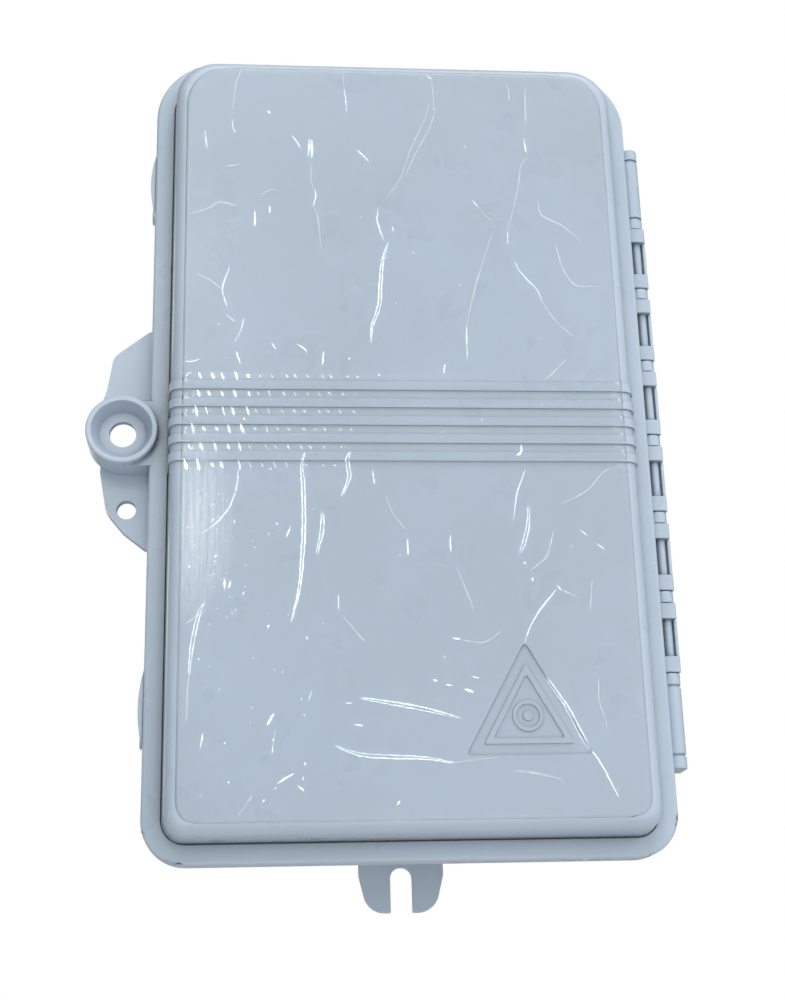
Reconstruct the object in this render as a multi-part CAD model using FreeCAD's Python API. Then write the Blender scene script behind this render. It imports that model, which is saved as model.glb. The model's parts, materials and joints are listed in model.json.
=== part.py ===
import FreeCAD, Part
import math
import os
from FreeCAD import Vector

# Wall-mounted fibre termination box, in millimetres.
# X is to the right, Z is up, and the front faces -Y. The back plane lies on the wall at y = 0.
# "Depth" here is the distance in front of the wall, so a point at depth d has y = -d.
# The origin is the middle of the back face.

# ---------------------------------------------------------------- driving dimensions
FLANGE_W = 165.0            # cover flange, side to side
FLANGE_H = 279.0            # cover flange, bottom to top
FLANGE_R_TOP = 23.0
FLANGE_R_BOTTOM = 13.5
DEPTH_FLANGE = 50.0         # wall to the flange's front face
DEPTH_DOME = 63.0           # wall to the dome's front face
SKIRT_BACK = 41.4           # depth of the cover skirt's back edge
COVER_T = 2.5               # cover wall
BASE_T = 2.5                # base wall
BACK_T = 3.0                # base back plate
BASE_INSET = 8.0            # base side wall inside the flange outline
TONGUE_TOP = 46.8           # depth of the base wall's front edge, inside the cover
RIM_FRONT = 41.2            # base rim plate, which the cover skirt closes on
RIM_T = 3.0
RIM_INSET = 0.5

FLANGE_EDGE_R = 1.0
FOOT_GROOVE_W = 0.45        # groove in the flange round the dome's foot
FOOT_GROOVE_DEEP = 0.7
DOME_INSET = 6.5            # dome foot inside the flange outline
DOME_DRAFT = 1.0            # how much the dome narrows on each side over its height
DOME_FILLET = 4.2
DOME_R_TOP = 15.0
DOME_R_BOTTOM = 7.0

EMBLEM_CORNERS = ((15.5, -109.7), (54.5, -109.7), (34.9, -74.7))   # recessed panel's triangle
EMBLEM_CENTRE = (34.9, -97.8)
EMBLEM_DEEP = 0.6
EMBLEM_BORDER = (3.3, 5.1)  # raised border, from the triangle's edge inwards

RIB_COUNT = 5
RIB_PITCH = 6.1
RIB_H = 3.1
RIB_PROUD = 0.6
RIB_BAND_Z = -1.75          # middle of the rib band

LOCK_X = -91.3              # lock bolt boss on the left edge
LOCK_Z = -0.9
LOCK_OUTER_R = 11.7
LOCK_MOUTH_R = 9.9          # the dish round the bolt hole, at its front and at its floor
LOCK_FLOOR_R = 7.6
LOCK_POCKET_R = 9.4
LOCK_HOLE_R = 4.35
LOCK_FRONT = 53.0
LOCK_FLOOR_FRONT = 47.6
LOCK_FLOOR_T = 2.5
EAR_SLOT_R = 6.2            # upright slot for the bolt in the base's ear
EAR_SLOT_RISE = 2.5
PADLOCK_X = -90.0
PADLOCK_Z = -24.8
PADLOCK_R = 3.1

HINGE_X = FLANGE_W / 2 + 3.2
HINGE_DEPTH = 42.0
HINGE_R = 2.9               # barrel of the base knuckles
ROD_R = 1.7
ROD_BEARING_R = 1.78        # hook seat, 0.08 running clearance
SEGMENTS = 6
SEGMENT_PITCH = 27.3
SEGMENT_L = 22.9
SEGMENT_TOP_Z = 78.8        # top end of the uppermost cover hinge segment
KNUCKLE_L = 5.2
HINGE_GAP = 0.3             # end clearance between neighbouring hinge parts
HOUSING_TOP_Z = 110.7
HOUSING_BOTTOM_Z = -111.5

LATCH_SPANS = ((79.1, 102.0), (-104.2, -79.5))   # finger bulges on the left edge, low and high z
LATCH_OUT = 1.4

TAB_HALF_W = 14.0           # wall fixing tabs on the back plane
TAB_T = 3.0
TAB_TIP_Z = -151.0
TAB_SLOT_R = 3.65
TAB_SLOT_END_Z = -136.5     # closed end of the bottom slot
TOP_TAB_TIP_Z = 153.5
TOP_HOLE_R = 2.75
TOP_HOLE_Z = 146.0

MAIN_PORT_X = 54.0          # two main cable ports in the bottom wall
MAIN_PORT_R = 9.0
MAIN_PORT_DEPTH = 17.0
MAIN_CABLE_R = 5.0
DROP_PORTS = 8
DROP_PITCH = 8.0
DROP_PORT_R = 3.0
ENTRY_HALF_W = 68.0         # straight part of the bottom wall, which carries the ports
CLAMP_Z = -112.0            # row of cable clamps above the ports
SADDLE_SCREW_DX = 12.5      # saddle screws each side of their cable
DROP_SCREW_X = 32.8         # drop clamp bar's screws
MEMBER_CLAMP_Z = -94.0      # strength member clamps
SADDLE_FOOT_DEPTH = 9.0
SADDLE_FOOT_T = 2.0
DROP_BAR_DEPTH = 12.0
DROP_BAR_FRONT = 18.0
MEMBER_CLAMP_DEPTH = 12.0
MEMBER_CLAMP_T = 1.4
DROP_REST_R = 1.8           # notch for one drop cable
DROP_REST_DEPTH = 12.6

ADAPTERS = 8
ADAPTER_PITCH = 12.5
ADAPTER_W = 9.3
ADAPTER_T = 13.0
ADAPTER_L = 28.0
ADAPTER_DEPTH = 20.0        # depth of the adapters' axes
PANEL_Z = -70.0             # middle of the adapter bracket's panel
PANEL_T = 1.5
BRACKET_FOOT_DEPTH = 7.0
BRACKET_SCREWS = ((-54.0, PANEL_Z + 9.0), (54.0, PANEL_Z + 9.0))

TRAY_HALF_W = 55.0
TRAY_Z = (-45.0, 120.0)
TRAY_BACK = 30.0
TRAY_H = 9.0
TRAY_T = 1.5
TRAY_POSTS = ((-48.0, -38.0), (48.0, -38.0), (-48.0, 113.0), (48.0, 113.0))

SCREW_R = 1.35              # shank of every small screw
INSERT_IN_R = 1.4
INSERT_OUT_R = 2.2
INSERT_L = 5.0
BOSS_R = 3.6
HEAD_R = 2.8
HEAD_L = 2.0

HALF_W = FLANGE_W / 2
HALF_H = FLANGE_H / 2
INNER_W = HALF_W - BASE_INSET - BASE_T       # inside faces of the base walls
INNER_H = HALF_H - BASE_INSET - BASE_T


# ---------------------------------------------------------------- helpers
def at(x, z, depth):
    """A point given by x, z and its distance in front of the wall."""
    return Vector(x, -depth, z)


def block(x, depth, z):
    """A box from three (low, high) ranges."""
    size = (x[1] - x[0], depth[1] - depth[0], z[1] - z[0])
    return Part.makeBox(*size, Vector(x[0], -depth[1], z[0]))


def rod_y(x, z, radius, depth):
    """A cylinder square to the wall, between two depths."""
    return Part.makeCylinder(radius, depth[1] - depth[0], at(x, z, depth[0]), Vector(0, -1, 0))


def rod_z(x, depth, radius, z):
    """A vertical cylinder between two heights."""
    return Part.makeCylinder(radius, z[1] - z[0], at(x, z[0], depth), Vector(0, 0, 1))


def outline(points, radii, depth):
    """A closed wire parallel to the wall through (x, z) corners, each rounded by its own radius."""
    starts, ends, arcs = [], [], []
    count = len(points)
    for i, (x, z) in enumerate(points):
        corner = Vector(x, 0, z)
        back = (Vector(points[i - 1][0], 0, points[i - 1][1]) - corner).normalize()
        ahead = (Vector(points[(i + 1) % count][0], 0, points[(i + 1) % count][1]) - corner).normalize()
        half = math.acos(max(-1.0, min(1.0, back.dot(ahead)))) / 2
        radius = radii[i]
        reach = radius / math.tan(half)
        start = corner + back * reach
        end = corner + ahead * reach
        middle = (back + ahead).normalize()
        centre = corner + middle * (radius / math.sin(half))
        starts.append(start)
        ends.append(end)
        arcs.append(centre - middle * radius)
    lift = Vector(0, -depth, 0)
    edges = []
    for i in range(count):
        if radii[i] > 0:
            edges.append(Part.Arc(starts[i] + lift, arcs[i] + lift, ends[i] + lift).toShape())
        nxt = (i + 1) % count
        if (starts[nxt] - ends[i]).Length > 1e-6:
            edges.append(Part.LineSegment(ends[i] + lift, starts[nxt] + lift).toShape())
    return Part.Wire(edges)


def slab(points, radii, depth):
    """A plate parallel to the wall with a rounded polygon outline."""
    face = Part.Face(outline(points, radii, depth[0]))
    return face.extrude(Vector(0, depth[0] - depth[1], 0))


def rectangle(half_w, z):
    """Corners of an upright rectangle, from the bottom left."""
    return [(-half_w, z[0]), (half_w, z[0]), (half_w, z[1]), (-half_w, z[1])]


def flange_points(inset):
    """The cover flange's outline moved inwards, with its radii."""
    low, high = FLANGE_R_BOTTOM - inset, FLANGE_R_TOP - inset
    radii = [max(low, 1.0), max(low, 1.0), max(high, 1.0), max(high, 1.0)]
    return rectangle(HALF_W - inset, (-HALF_H + inset, HALF_H - inset)), radii


def flange_slab(inset, depth):
    points, radii = flange_points(inset)
    return slab(points, radii, depth)


def fuse(shapes):
    return shapes[0].multiFuse(shapes[1:]).removeSplitter()


def group(shapes):
    """Separate solids kept in one node."""
    return Part.makeCompound(shapes)


def edges_at_depth(shape, depth):
    """Edges that lie wholly at one depth."""
    found = []
    for edge in shape.Edges:
        box = edge.BoundBox
        if abs(box.YMin + depth) < 1e-4 and abs(box.YMax + depth) < 1e-4:
            found.append(edge)
    return found


# ---------------------------------------------------------------- base
def wall_envelope():
    """Everything inside the base walls' outer faces."""
    return flange_slab(BASE_INSET, (-1, DEPTH_DOME))


def rim_envelope():
    """Everything inside the rim plate's outline, from its back face forwards."""
    return flange_slab(RIM_INSET, (RIM_FRONT - RIM_T, DEPTH_DOME))


def boss_places():
    """Every screw boss on the back plate: x, z and the depth of its top."""
    places = [(x, z, TRAY_BACK) for x, z in TRAY_POSTS]
    places += [(x, z, BRACKET_FOOT_DEPTH) for x, z in BRACKET_SCREWS]
    for side in (-1, 1):
        for dx in (-SADDLE_SCREW_DX, SADDLE_SCREW_DX):
            places.append((side * (MAIN_PORT_X + dx), CLAMP_Z, SADDLE_FOOT_DEPTH))
        places.append((side * DROP_SCREW_X, CLAMP_Z, DROP_BAR_DEPTH))
        places.append((side * MAIN_PORT_X, MEMBER_CLAMP_Z, MEMBER_CLAMP_DEPTH))
    return places


def insert_cuts():
    """Seats for the brass inserts, with a little room for each screw's tip."""
    cuts = []
    for x, z, top in boss_places():
        cuts.append(rod_y(x, z, INSERT_OUT_R, (top - INSERT_L, top + 1)))
        cuts.append(rod_y(x, z, SCREW_R + 0.1, (top - INSERT_L - 1.0, top)))
    return Part.makeCompound(cuts)


def back_pockets():
    """Shallow lightening pockets in the back face, between a frame and cross ribs."""
    pockets = []
    columns = ((-66.0, -26.0), (-22.0, -3.0), (3.0, 22.0), (26.0, 66.0))
    rows = ((-120.0, -66.0), (-60.0, -8.0), (8.0, 60.0), (66.0, 120.0))
    for x in columns:
        for z in rows:
            points = [(x[0], z[0]), (x[1], z[0]), (x[1], z[1]), (x[0], z[1])]
            pockets.append(slab(points, [3.0] * 4, (-1, 0.8)))
    return Part.makeCompound(pockets)


def base_back_plate():
    """The plate on the wall, pocketed behind."""
    return flange_slab(BASE_INSET, (0, BACK_T)).cut(back_pockets()).cut(insert_cuts())


def insert_bosses():
    """One post for every brass insert, standing on the back plate."""
    bosses = [rod_y(x, z, BOSS_R, (BACK_T, top)) for x, z, top in boss_places()]
    return group([boss.cut(insert_cuts()) for boss in bosses])


def drop_notches(z):
    """Rods where the drop cables lie, to cut notches with."""
    return Part.makeCompound([rod_z(x, DROP_REST_DEPTH, DROP_REST_R, z) for x in drop_positions()])


def cable_rests():
    """Ribs on the back plate that the cables lie on under their clamps."""
    z = (CLAMP_Z - 2.0, CLAMP_Z + 2.0)
    past = (z[0] - 2, z[1] + 2)
    rests = []
    for side in (-1, 1):
        x = side * MAIN_PORT_X
        rib = block((x - 5.7, x + 5.7), (BACK_T, 14.5), z)
        rests.append(rib.cut(rod_z(x, MAIN_PORT_DEPTH, MAIN_CABLE_R + 0.5, past)))
    rib = block((-29.0, 29.0), (BACK_T, DROP_BAR_DEPTH), z)
    rests.append(rib.cut(drop_notches(past)))
    return group(rests)


def drop_positions():
    return [(i - (DROP_PORTS - 1) / 2) * DROP_PITCH for i in range(DROP_PORTS)]


def adapter_positions():
    return [(i - (ADAPTERS - 1) / 2) * ADAPTER_PITCH for i in range(ADAPTERS)]


def wall_loop():
    """All four side walls, from the back plate to the tongue inside the cover."""
    points, radii = flange_points(BASE_INSET + BASE_T)
    return flange_slab(BASE_INSET, (BACK_T, TONGUE_TOP)).cut(slab(points, radii, (0, DEPTH_DOME)))


def entry_space():
    """Where the straight part of the bottom wall is."""
    return block((-ENTRY_HALF_W, ENTRY_HALF_W), (0, DEPTH_DOME), (-HALF_H, -INNER_H + 1))


def base_walls():
    """The left, top and right walls, with all four corners."""
    return wall_loop().cut(entry_space())


def cable_entry_wall():
    """The bottom wall with its two main ports and its row of drop cable ports."""
    wall = wall_loop().common(entry_space())
    z = (-HALF_H, -INNER_H + 1)
    ports = [rod_z(side * MAIN_PORT_X, MAIN_PORT_DEPTH, MAIN_PORT_R, z) for side in (-1, 1)]
    ports += [rod_z(x, MAIN_PORT_DEPTH, DROP_PORT_R, z) for x in drop_positions()]
    return wall.cut(Part.makeCompound(ports))


def base_rim():
    """The plate that the cover's skirt closes on, with the gasket channel's outer rib and the latch lugs."""
    plate = flange_slab(RIM_INSET, (RIM_FRONT - RIM_T, RIM_FRONT))
    rib_inside = flange_slab(4.4, (RIM_FRONT - 2, DEPTH_FLANGE))
    rib = flange_slab(3.0, (RIM_FRONT - 1, RIM_FRONT + 2.0)).cut(rib_inside)
    lugs = [block((-HALF_W - LATCH_OUT, -78.0), (RIM_FRONT - RIM_T, RIM_FRONT), (low + 1.5, high - 1.5))
            for low, high in LATCH_SPANS]
    return fuse([plate, rib] + lugs).cut(wall_envelope())


def ear_plate(depth):
    """The ear's outline, which carries the lock bolt hole and the padlock hole."""
    points = [
        (-80.0, 39.0), (-83.5, 39.0), (-95.6, 29.5), (-97.6, 17.0), (-98.9, 13.0),
        (-98.9, -12.0), (-96.6, -25.5), (-91.0, -32.5), (-83.5, -38.5), (-80.0, -39.0),
    ]
    radii = [0, 4.0, 6.0, 6.0, 3.0, 4.0, 8.0, 6.0, 4.0, 0]
    return slab(points, radii, depth)


def ear_gussets():
    """Triangular webs that carry the ear from the side wall."""
    webs = []
    for z in (17.0, -15.5):
        corners = [at(-74.0, z, 39.0), at(-94.0, z, 39.0), at(-74.0, z, 21.0), at(-74.0, z, 39.0)]
        webs.append(Part.Face(Part.makePolygon(corners)).extrude(Vector(0, 0, 2.4)))
    return webs


def lock_ear():
    """The ear on the left edge with its gussets, the bolt's slot and the padlock hole."""
    plate = ear_plate((RIM_FRONT - RIM_T, RIM_FRONT))
    ear = fuse([plate] + ear_gussets()).cut(wall_envelope()).cut(rim_envelope())
    through = (30, DEPTH_FLANGE)
    slot = fuse([
        rod_y(LOCK_X, LOCK_Z, EAR_SLOT_R, through),
        rod_y(LOCK_X, LOCK_Z + EAR_SLOT_RISE, EAR_SLOT_R, through),
        block((LOCK_X - EAR_SLOT_R, LOCK_X + EAR_SLOT_R), through, (LOCK_Z, LOCK_Z + EAR_SLOT_RISE)),
    ])
    shackle = rod_y(PADLOCK_X, PADLOCK_Z, PADLOCK_R, through)
    return ear.cut(slot).cut(shackle)


def wall_tab_bottom():
    """The lower wall tab with its slot open downwards."""
    points = [(-TAB_HALF_W, -128.0), (-TAB_HALF_W, -139.0), (-11.0, TAB_TIP_Z), (11.0, TAB_TIP_Z),
              (TAB_HALF_W, -139.0), (TAB_HALF_W, -128.0)]
    tab = slab(points, [0, 6.0, 7.0, 7.0, 6.0, 0], (0, TAB_T))
    slot_z = (TAB_TIP_Z - 10, TAB_SLOT_END_Z - TAB_SLOT_R)
    slot = block((-TAB_SLOT_R, TAB_SLOT_R), (-1, TAB_T + 1), slot_z)
    end = rod_y(0, TAB_SLOT_END_Z - TAB_SLOT_R, TAB_SLOT_R, (-1, TAB_T + 1))
    return tab.cut(slot.fuse(end)).cut(wall_envelope())


def wall_tab_top():
    """The upper wall tab with a round screw hole."""
    points = [(-TAB_HALF_W, 128.0), (TAB_HALF_W, 128.0), (TAB_HALF_W, 142.0), (9.0, TOP_TAB_TIP_Z),
              (-9.0, TOP_TAB_TIP_Z), (-TAB_HALF_W, 142.0)]
    tab = slab(points, [0, 0, 6.0, 6.0, 6.0, 6.0], (0, TAB_T))
    return tab.cut(rod_y(0, TOP_HOLE_Z, TOP_HOLE_R, (-1, TAB_T + 1))).cut(wall_envelope())


def segment_z(index):
    """Low and high z of one cover hinge segment."""
    high = SEGMENT_TOP_Z - SEGMENT_PITCH * index
    return high - SEGMENT_L, high


def base_knuckle(z):
    """A solid barrel of the base between two cover segments."""
    barrel = rod_z(HINGE_X, HINGE_DEPTH, HINGE_R, z)
    web = block((HINGE_X - 2.2, HINGE_X + HINGE_R), (36.5, HINGE_DEPTH), z)
    return barrel.fuse(web)


def hinge_hook(z):
    """A hook of the base around one rod of the cover, open to the front, with its outer lip higher."""
    past = (z[0] - 1, z[1] + 1)
    lip_x = (HINGE_X + 2.1, HINGE_X + 3.1)
    body = block((HINGE_X - 2.6, lip_x[1]), (36.5, HINGE_DEPTH + 0.4), z)
    lip = block(lip_x, (HINGE_DEPTH, HINGE_DEPTH + 1.6), z)
    seat = rod_z(HINGE_X, HINGE_DEPTH, ROD_BEARING_R, past)
    mouth = block((HINGE_X - ROD_BEARING_R, lip_x[0]), (HINGE_DEPTH, HINGE_DEPTH + 3), past)
    return body.fuse(lip).cut(seat.fuse(mouth))


def knuckle_groove(z):
    """A fine ring groove on the front half of a base knuckle."""
    groove = 0.35
    ring = rod_z(HINGE_X, HINGE_DEPTH, HINGE_R + 1, (z - groove, z + groove))
    core = rod_z(HINGE_X, HINGE_DEPTH, HINGE_R - 0.5, (z - 1, z + 1))
    front = block((HINGE_X - 5, HINGE_X + 5), (HINGE_DEPTH - 1, HINGE_DEPTH + 5), (z - 1, z + 1))
    return ring.cut(core).common(front)


def hinge_column():
    """Everything of the base along the hinge axis, on a rail beside the rim plate."""
    parts = [block((78.0, HINGE_X + HINGE_R), (33.5, 37.0), (HOUSING_BOTTOM_Z, HOUSING_TOP_Z))]
    parts.append(block((78.0, 82.0), (36.5, 39.0), (HOUSING_BOTTOM_Z, HOUSING_TOP_Z)))
    for i in range(SEGMENTS):
        low, high = segment_z(i)
        parts.append(hinge_hook((low + KNUCKLE_L + HINGE_GAP, high - KNUCKLE_L - HINGE_GAP)))
        if i < SEGMENTS - 1:
            parts.append(base_knuckle((low - SEGMENT_PITCH + SEGMENT_L + HINGE_GAP, low - HINGE_GAP)))
    low_end = segment_z(SEGMENTS - 1)[0] - HINGE_GAP
    high_end = SEGMENT_TOP_Z + HINGE_GAP
    parts.append(base_knuckle((high_end, HOUSING_TOP_Z)))
    parts.append(base_knuckle((HOUSING_BOTTOM_Z, low_end)))
    grooves = [HOUSING_TOP_Z - 4.3, high_end + 4.1, low_end - 4.1, HOUSING_BOTTOM_Z + 4.3]
    column = fuse(parts).cut(Part.makeCompound([knuckle_groove(z) for z in grooves]))
    return column.cut(rim_envelope())


# ---------------------------------------------------------------- front cover
def dome(grow, depth_low, depth_high, fillet):
    """The cover's domed front as a drafted block, grown outwards by grow."""
    wires = []
    for depth, narrow in ((depth_low, 0.0), (depth_high, DOME_DRAFT)):
        inset = DOME_INSET - grow + narrow
        low = max(DOME_R_BOTTOM + grow - narrow, 1.0)
        high = DOME_R_TOP + grow - narrow
        points = rectangle(HALF_W - inset, (-HALF_H + inset, HALF_H - inset))
        wires.append(outline(points, [low, low, high, high], depth))
    solid = Part.makeLoft(wires, True, True)
    return solid.makeFillet(fillet, edges_at_depth(solid, depth_high)) if fillet else solid


def rib_band():
    """Raised bars that wrap over the dome from side to side."""
    fat = dome(RIB_PROUD, DEPTH_FLANGE - 0.5, DEPTH_DOME + RIB_PROUD, DOME_FILLET + RIB_PROUD)
    bars = []
    for i in range(RIB_COUNT):
        middle = RIB_BAND_Z + (i - (RIB_COUNT - 1) / 2) * RIB_PITCH
        bar = block((-HALF_W, HALF_W), (DEPTH_FLANGE - 0.5, 70), (middle - RIB_H / 2, middle + RIB_H / 2))
        bars.append(fat.common(bar))
    return bars


def triangle(inset, depth):
    """The emblem's triangle, drawn smaller by inset on every side."""
    corners = [Vector(x, 0, z) for x, z in EMBLEM_CORNERS]
    centre = (corners[0] + corners[1] + corners[2]) * (1 / 3)
    shrink = 1 - inset / (centre.z - corners[0].z)
    points = [centre + (c - centre) * shrink for c in corners]
    radius = 0.9 if inset == 0 else 0.5
    return slab([(p.x, p.z) for p in points], [radius] * 3, depth)


def emblem():
    """A recessed triangle with a raised border, and a plain ring and dot inside it."""
    floor = DEPTH_DOME - EMBLEM_DEEP
    raised = (floor - 0.2, DEPTH_DOME - 0.1)
    through = (floor - 1, DEPTH_DOME + 1)
    border = triangle(EMBLEM_BORDER[0], raised).cut(triangle(EMBLEM_BORDER[1], through))
    ring = rod_y(*EMBLEM_CENTRE, 4.8, raised).cut(rod_y(*EMBLEM_CENTRE, 3.6, through))
    dot = rod_y(*EMBLEM_CENTRE, 1.6, raised)
    recess = triangle(0, (floor, DEPTH_DOME + 1))
    return recess, [border, ring, dot]


def cover_envelope():
    """Everything inside the cover skirt's outer face."""
    return flange_slab(0, (SKIRT_BACK, DEPTH_DOME))


def flange_plate():
    """The cover's flat rim with its skirt, still solid behind the dome."""
    plate = flange_slab(0, (SKIRT_BACK, DEPTH_FLANGE))
    return plate.makeFillet(FLANGE_EDGE_R, edges_at_depth(plate, DEPTH_FLANGE))


def hinge_segment(index):
    """Two knuckles joined by the rod that the base hook holds."""
    low, high = segment_z(index)
    outer_x = HINGE_X + 3.0
    parts = [rod_z(HINGE_X, HINGE_DEPTH, ROD_R, (low, high))]
    for z in ((low, low + KNUCKLE_L), (high - KNUCKLE_L, high)):
        knuckle = block((HALF_W - 1.5, outer_x), (HINGE_DEPTH - 2.6, HINGE_DEPTH + 3.0), z)
        upright = [e for e in knuckle.Edges if e.BoundBox.ZLength > 1]
        outer = [e for e in upright if abs(e.BoundBox.XMin - outer_x) < 1e-4]
        knuckle = knuckle.makeFillet(1.2, outer)
        rim_room = block((HALF_W - 2.0, HALF_W + 0.3), (30, SKIRT_BACK), (low - 1, high + 1))
        parts.append(knuckle.cut(rim_room))
    return fuse(parts).cut(cover_envelope())


def cover_hinge_segments():
    """All the cover's knuckles and rods along its right edge."""
    return group([hinge_segment(i) for i in range(SEGMENTS)])


def lock_boss():
    """The lock bolt's dished ring, which laps over the flange, and the arm that joins it to the flange."""
    ring = rod_y(LOCK_X, LOCK_Z, LOCK_OUTER_R, (SKIRT_BACK, LOCK_FRONT))
    ring = ring.makeFillet(0.7, edges_at_depth(ring, LOCK_FRONT))
    arm_z = (LOCK_Z - LOCK_OUTER_R, LOCK_Z + LOCK_OUTER_R - 0.6)
    arm = block((LOCK_X, -HALF_W + 1.0), (SKIRT_BACK, DEPTH_FLANGE), arm_z)
    pocket_z = (arm_z[0] + COVER_T, arm_z[1] - COVER_T)
    pocket = block((LOCK_X, -HALF_W), (SKIRT_BACK - 1, DEPTH_FLANGE - COVER_T), pocket_z)
    boss = arm.cut(pocket).fuse(ring)
    dish_depth = LOCK_FRONT - LOCK_FLOOR_FRONT
    floor_middle = at(LOCK_X, LOCK_Z, LOCK_FLOOR_FRONT)
    dish = Part.makeCone(LOCK_FLOOR_R, LOCK_MOUTH_R, dish_depth, floor_middle, Vector(0, -1, 0))
    cuts = [
        dish,
        rod_y(LOCK_X, LOCK_Z, LOCK_POCKET_R, (SKIRT_BACK - 1, LOCK_FLOOR_FRONT - LOCK_FLOOR_T)),
        rod_y(LOCK_X, LOCK_Z, LOCK_HOLE_R, (SKIRT_BACK - 1, LOCK_FRONT + 1)),
    ]
    under_flange = flange_slab(0, (SKIRT_BACK, DEPTH_FLANGE - FLANGE_EDGE_R))
    return boss.cut(Part.makeCompound(cuts)).cut(under_flange).cut(flange_plate())


def latch_bulge(span, out, depth):
    """A shallow bowed finger grip on the left edge."""
    low, high = span
    back = depth[0]
    inside = -HALF_W + COVER_T - 0.1
    foot_low, foot_high = at(-HALF_W, low, back), at(-HALF_W, high, back)
    bow = Part.Arc(foot_low, at(-HALF_W - out, (low + high) / 2, back), foot_high).toShape()
    rest = Part.makePolygon([foot_high, at(inside, high, back), at(inside, low, back), foot_low])
    wire = Part.Wire([bow] + rest.Edges)
    return Part.Face(wire).extrude(Vector(0, back - depth[1], 0))


def cover_ribs():
    """Low stiffening ribs inside the dome."""
    roof = DEPTH_DOME - COVER_T
    ribs = [block((-74.0, 74.0), (roof - 2.5, roof + 1), (z - 0.75, z + 0.75)) for z in (-66.0, 66.0)]
    ribs += [block((x - 0.75, x + 0.75), (roof - 2.5, roof + 1), (-130.0, 130.0)) for x in (-40.0, 40.0)]
    return ribs


def foot_groove():
    """The thin groove in the flange round the dome's foot."""
    rings = []
    for grow in (FOOT_GROOVE_W, 0.0):
        inset = DOME_INSET - grow
        points = rectangle(HALF_W - inset, (-HALF_H + inset, HALF_H - inset))
        low, high = DOME_R_BOTTOM + grow, DOME_R_TOP + grow
        rings.append(slab(points, [low, low, high, high], (DEPTH_FLANGE - FOOT_GROOVE_DEEP, DEPTH_FLANGE)))
    return rings[0].cut(rings[1])


def front_cover():
    parts = [flange_plate(), dome(0, DEPTH_FLANGE - 1.0, DEPTH_DOME, DOME_FILLET)]
    parts += rib_band()
    parts += [latch_bulge(span, LATCH_OUT + 0.3, (SKIRT_BACK, DEPTH_FLANGE - 1.0)) for span in LATCH_SPANS]
    cover = fuse(parts)

    hollow = [flange_slab(COVER_T, (SKIRT_BACK - 1, DEPTH_FLANGE - COVER_T))]
    hollow.append(dome(-COVER_T, DEPTH_FLANGE - COVER_T - 1, DEPTH_DOME - COVER_T, 2.0))
    cover = cover.cut(Part.makeCompound(hollow))
    press_rib = flange_slab(5.4, (44.3, DEPTH_FLANGE - 2)).cut(flange_slab(6.8, (40, 60)))
    stiffeners = fuse(cover_ribs()).common(dome(-COVER_T + 0.5, 45, DEPTH_DOME - COVER_T + 0.5, 0))
    cover = fuse([cover, press_rib, stiffeners])

    recess, raised = emblem()
    return fuse([cover.cut(recess).cut(foot_groove())] + raised)


def protective_film():
    """Thin film lying on the dome and lifted over the rib band, as one folded sheet."""
    thick = 0.15
    flat = DEPTH_DOME + 0.03
    raised = DEPTH_DOME + RIB_PROUD + 0.03
    band = RIB_COUNT * RIB_PITCH / 2 + 1.0
    half_h = HALF_H - DOME_INSET - DOME_DRAFT - DOME_FILLET
    heights = [(-half_h, flat), (RIB_BAND_Z - band, flat), (RIB_BAND_Z - band + 1.5, raised),
               (RIB_BAND_Z + band - 1.5, raised), (RIB_BAND_Z + band, flat), (half_h, flat)]
    half_w = HALF_W - DOME_INSET - DOME_DRAFT - DOME_FILLET
    lower = [at(-half_w, z, d) for z, d in heights]
    upper = [at(-half_w, z, d + thick) for z, d in reversed(heights)]
    face = Part.Face(Part.makePolygon(lower + upper + lower[:1]))
    sheet = face.extrude(Vector(2 * half_w, 0, 0))
    corner_top = DOME_R_TOP - DOME_FILLET
    shape = slab(rectangle(half_w, (-half_h, half_h)), [3.0, 3.0, corner_top, corner_top], (60, 66))
    return sheet.common(shape)


def rim_gasket():
    """Closed rubber loop in the channel between the base's wall and its outer rib."""
    loop = flange_slab(4.6, (RIM_FRONT, RIM_FRONT + 2.7))
    return loop.cut(flange_slab(7.8, (RIM_FRONT - 1, RIM_FRONT + 4)))


# ---------------------------------------------------------------- cable entry
def cable_grommet(x):
    """Rubber grommet with a lip on each side of the bottom wall and an open bore."""
    wall_out, wall_in = -HALF_H + BASE_INSET, -INNER_H
    lip_in = wall_in + 1.8
    body = [
        rod_z(x, MAIN_PORT_DEPTH, MAIN_PORT_R, (wall_out, wall_in)),
        rod_z(x, MAIN_PORT_DEPTH, MAIN_PORT_R + 1.8, (wall_out - 2.0, wall_out)),
        rod_z(x, MAIN_PORT_DEPTH, MAIN_PORT_R + 1.2, (wall_in, lip_in)),
    ]
    foot = at(x, lip_in, MAIN_PORT_DEPTH)
    cone = Part.makeCone(MAIN_PORT_R, MAIN_CABLE_R + 1.5, 5.0, foot, Vector(0, 0, 1))
    bore = rod_z(x, MAIN_PORT_DEPTH, MAIN_CABLE_R, (wall_out - 5, wall_in + 10))
    return fuse(body + [cone]).cut(bore)


def drop_cable_seal():
    """One rubber strip with a closed plug in each drop cable port."""
    wall_out, wall_in = -HALF_H + BASE_INSET, -INNER_H
    half = drop_positions()[-1] + 5.0
    strip = block((-half, half), (MAIN_PORT_DEPTH - 5, MAIN_PORT_DEPTH + 5), (wall_in, wall_in + 1.6))
    ends = [e for e in strip.Edges if e.BoundBox.ZLength > 1]
    parts = [strip.makeFillet(4.0, ends)]
    for x in drop_positions():
        plug = rod_z(x, MAIN_PORT_DEPTH, DROP_PORT_R, (wall_out - 1.2, wall_in + 0.5))
        dimple = rod_z(x, MAIN_PORT_DEPTH, DROP_PORT_R - 1.0, (wall_out - 2, wall_out + 0.2))
        parts.append(plug.cut(dimple))
    return fuse(parts)


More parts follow.
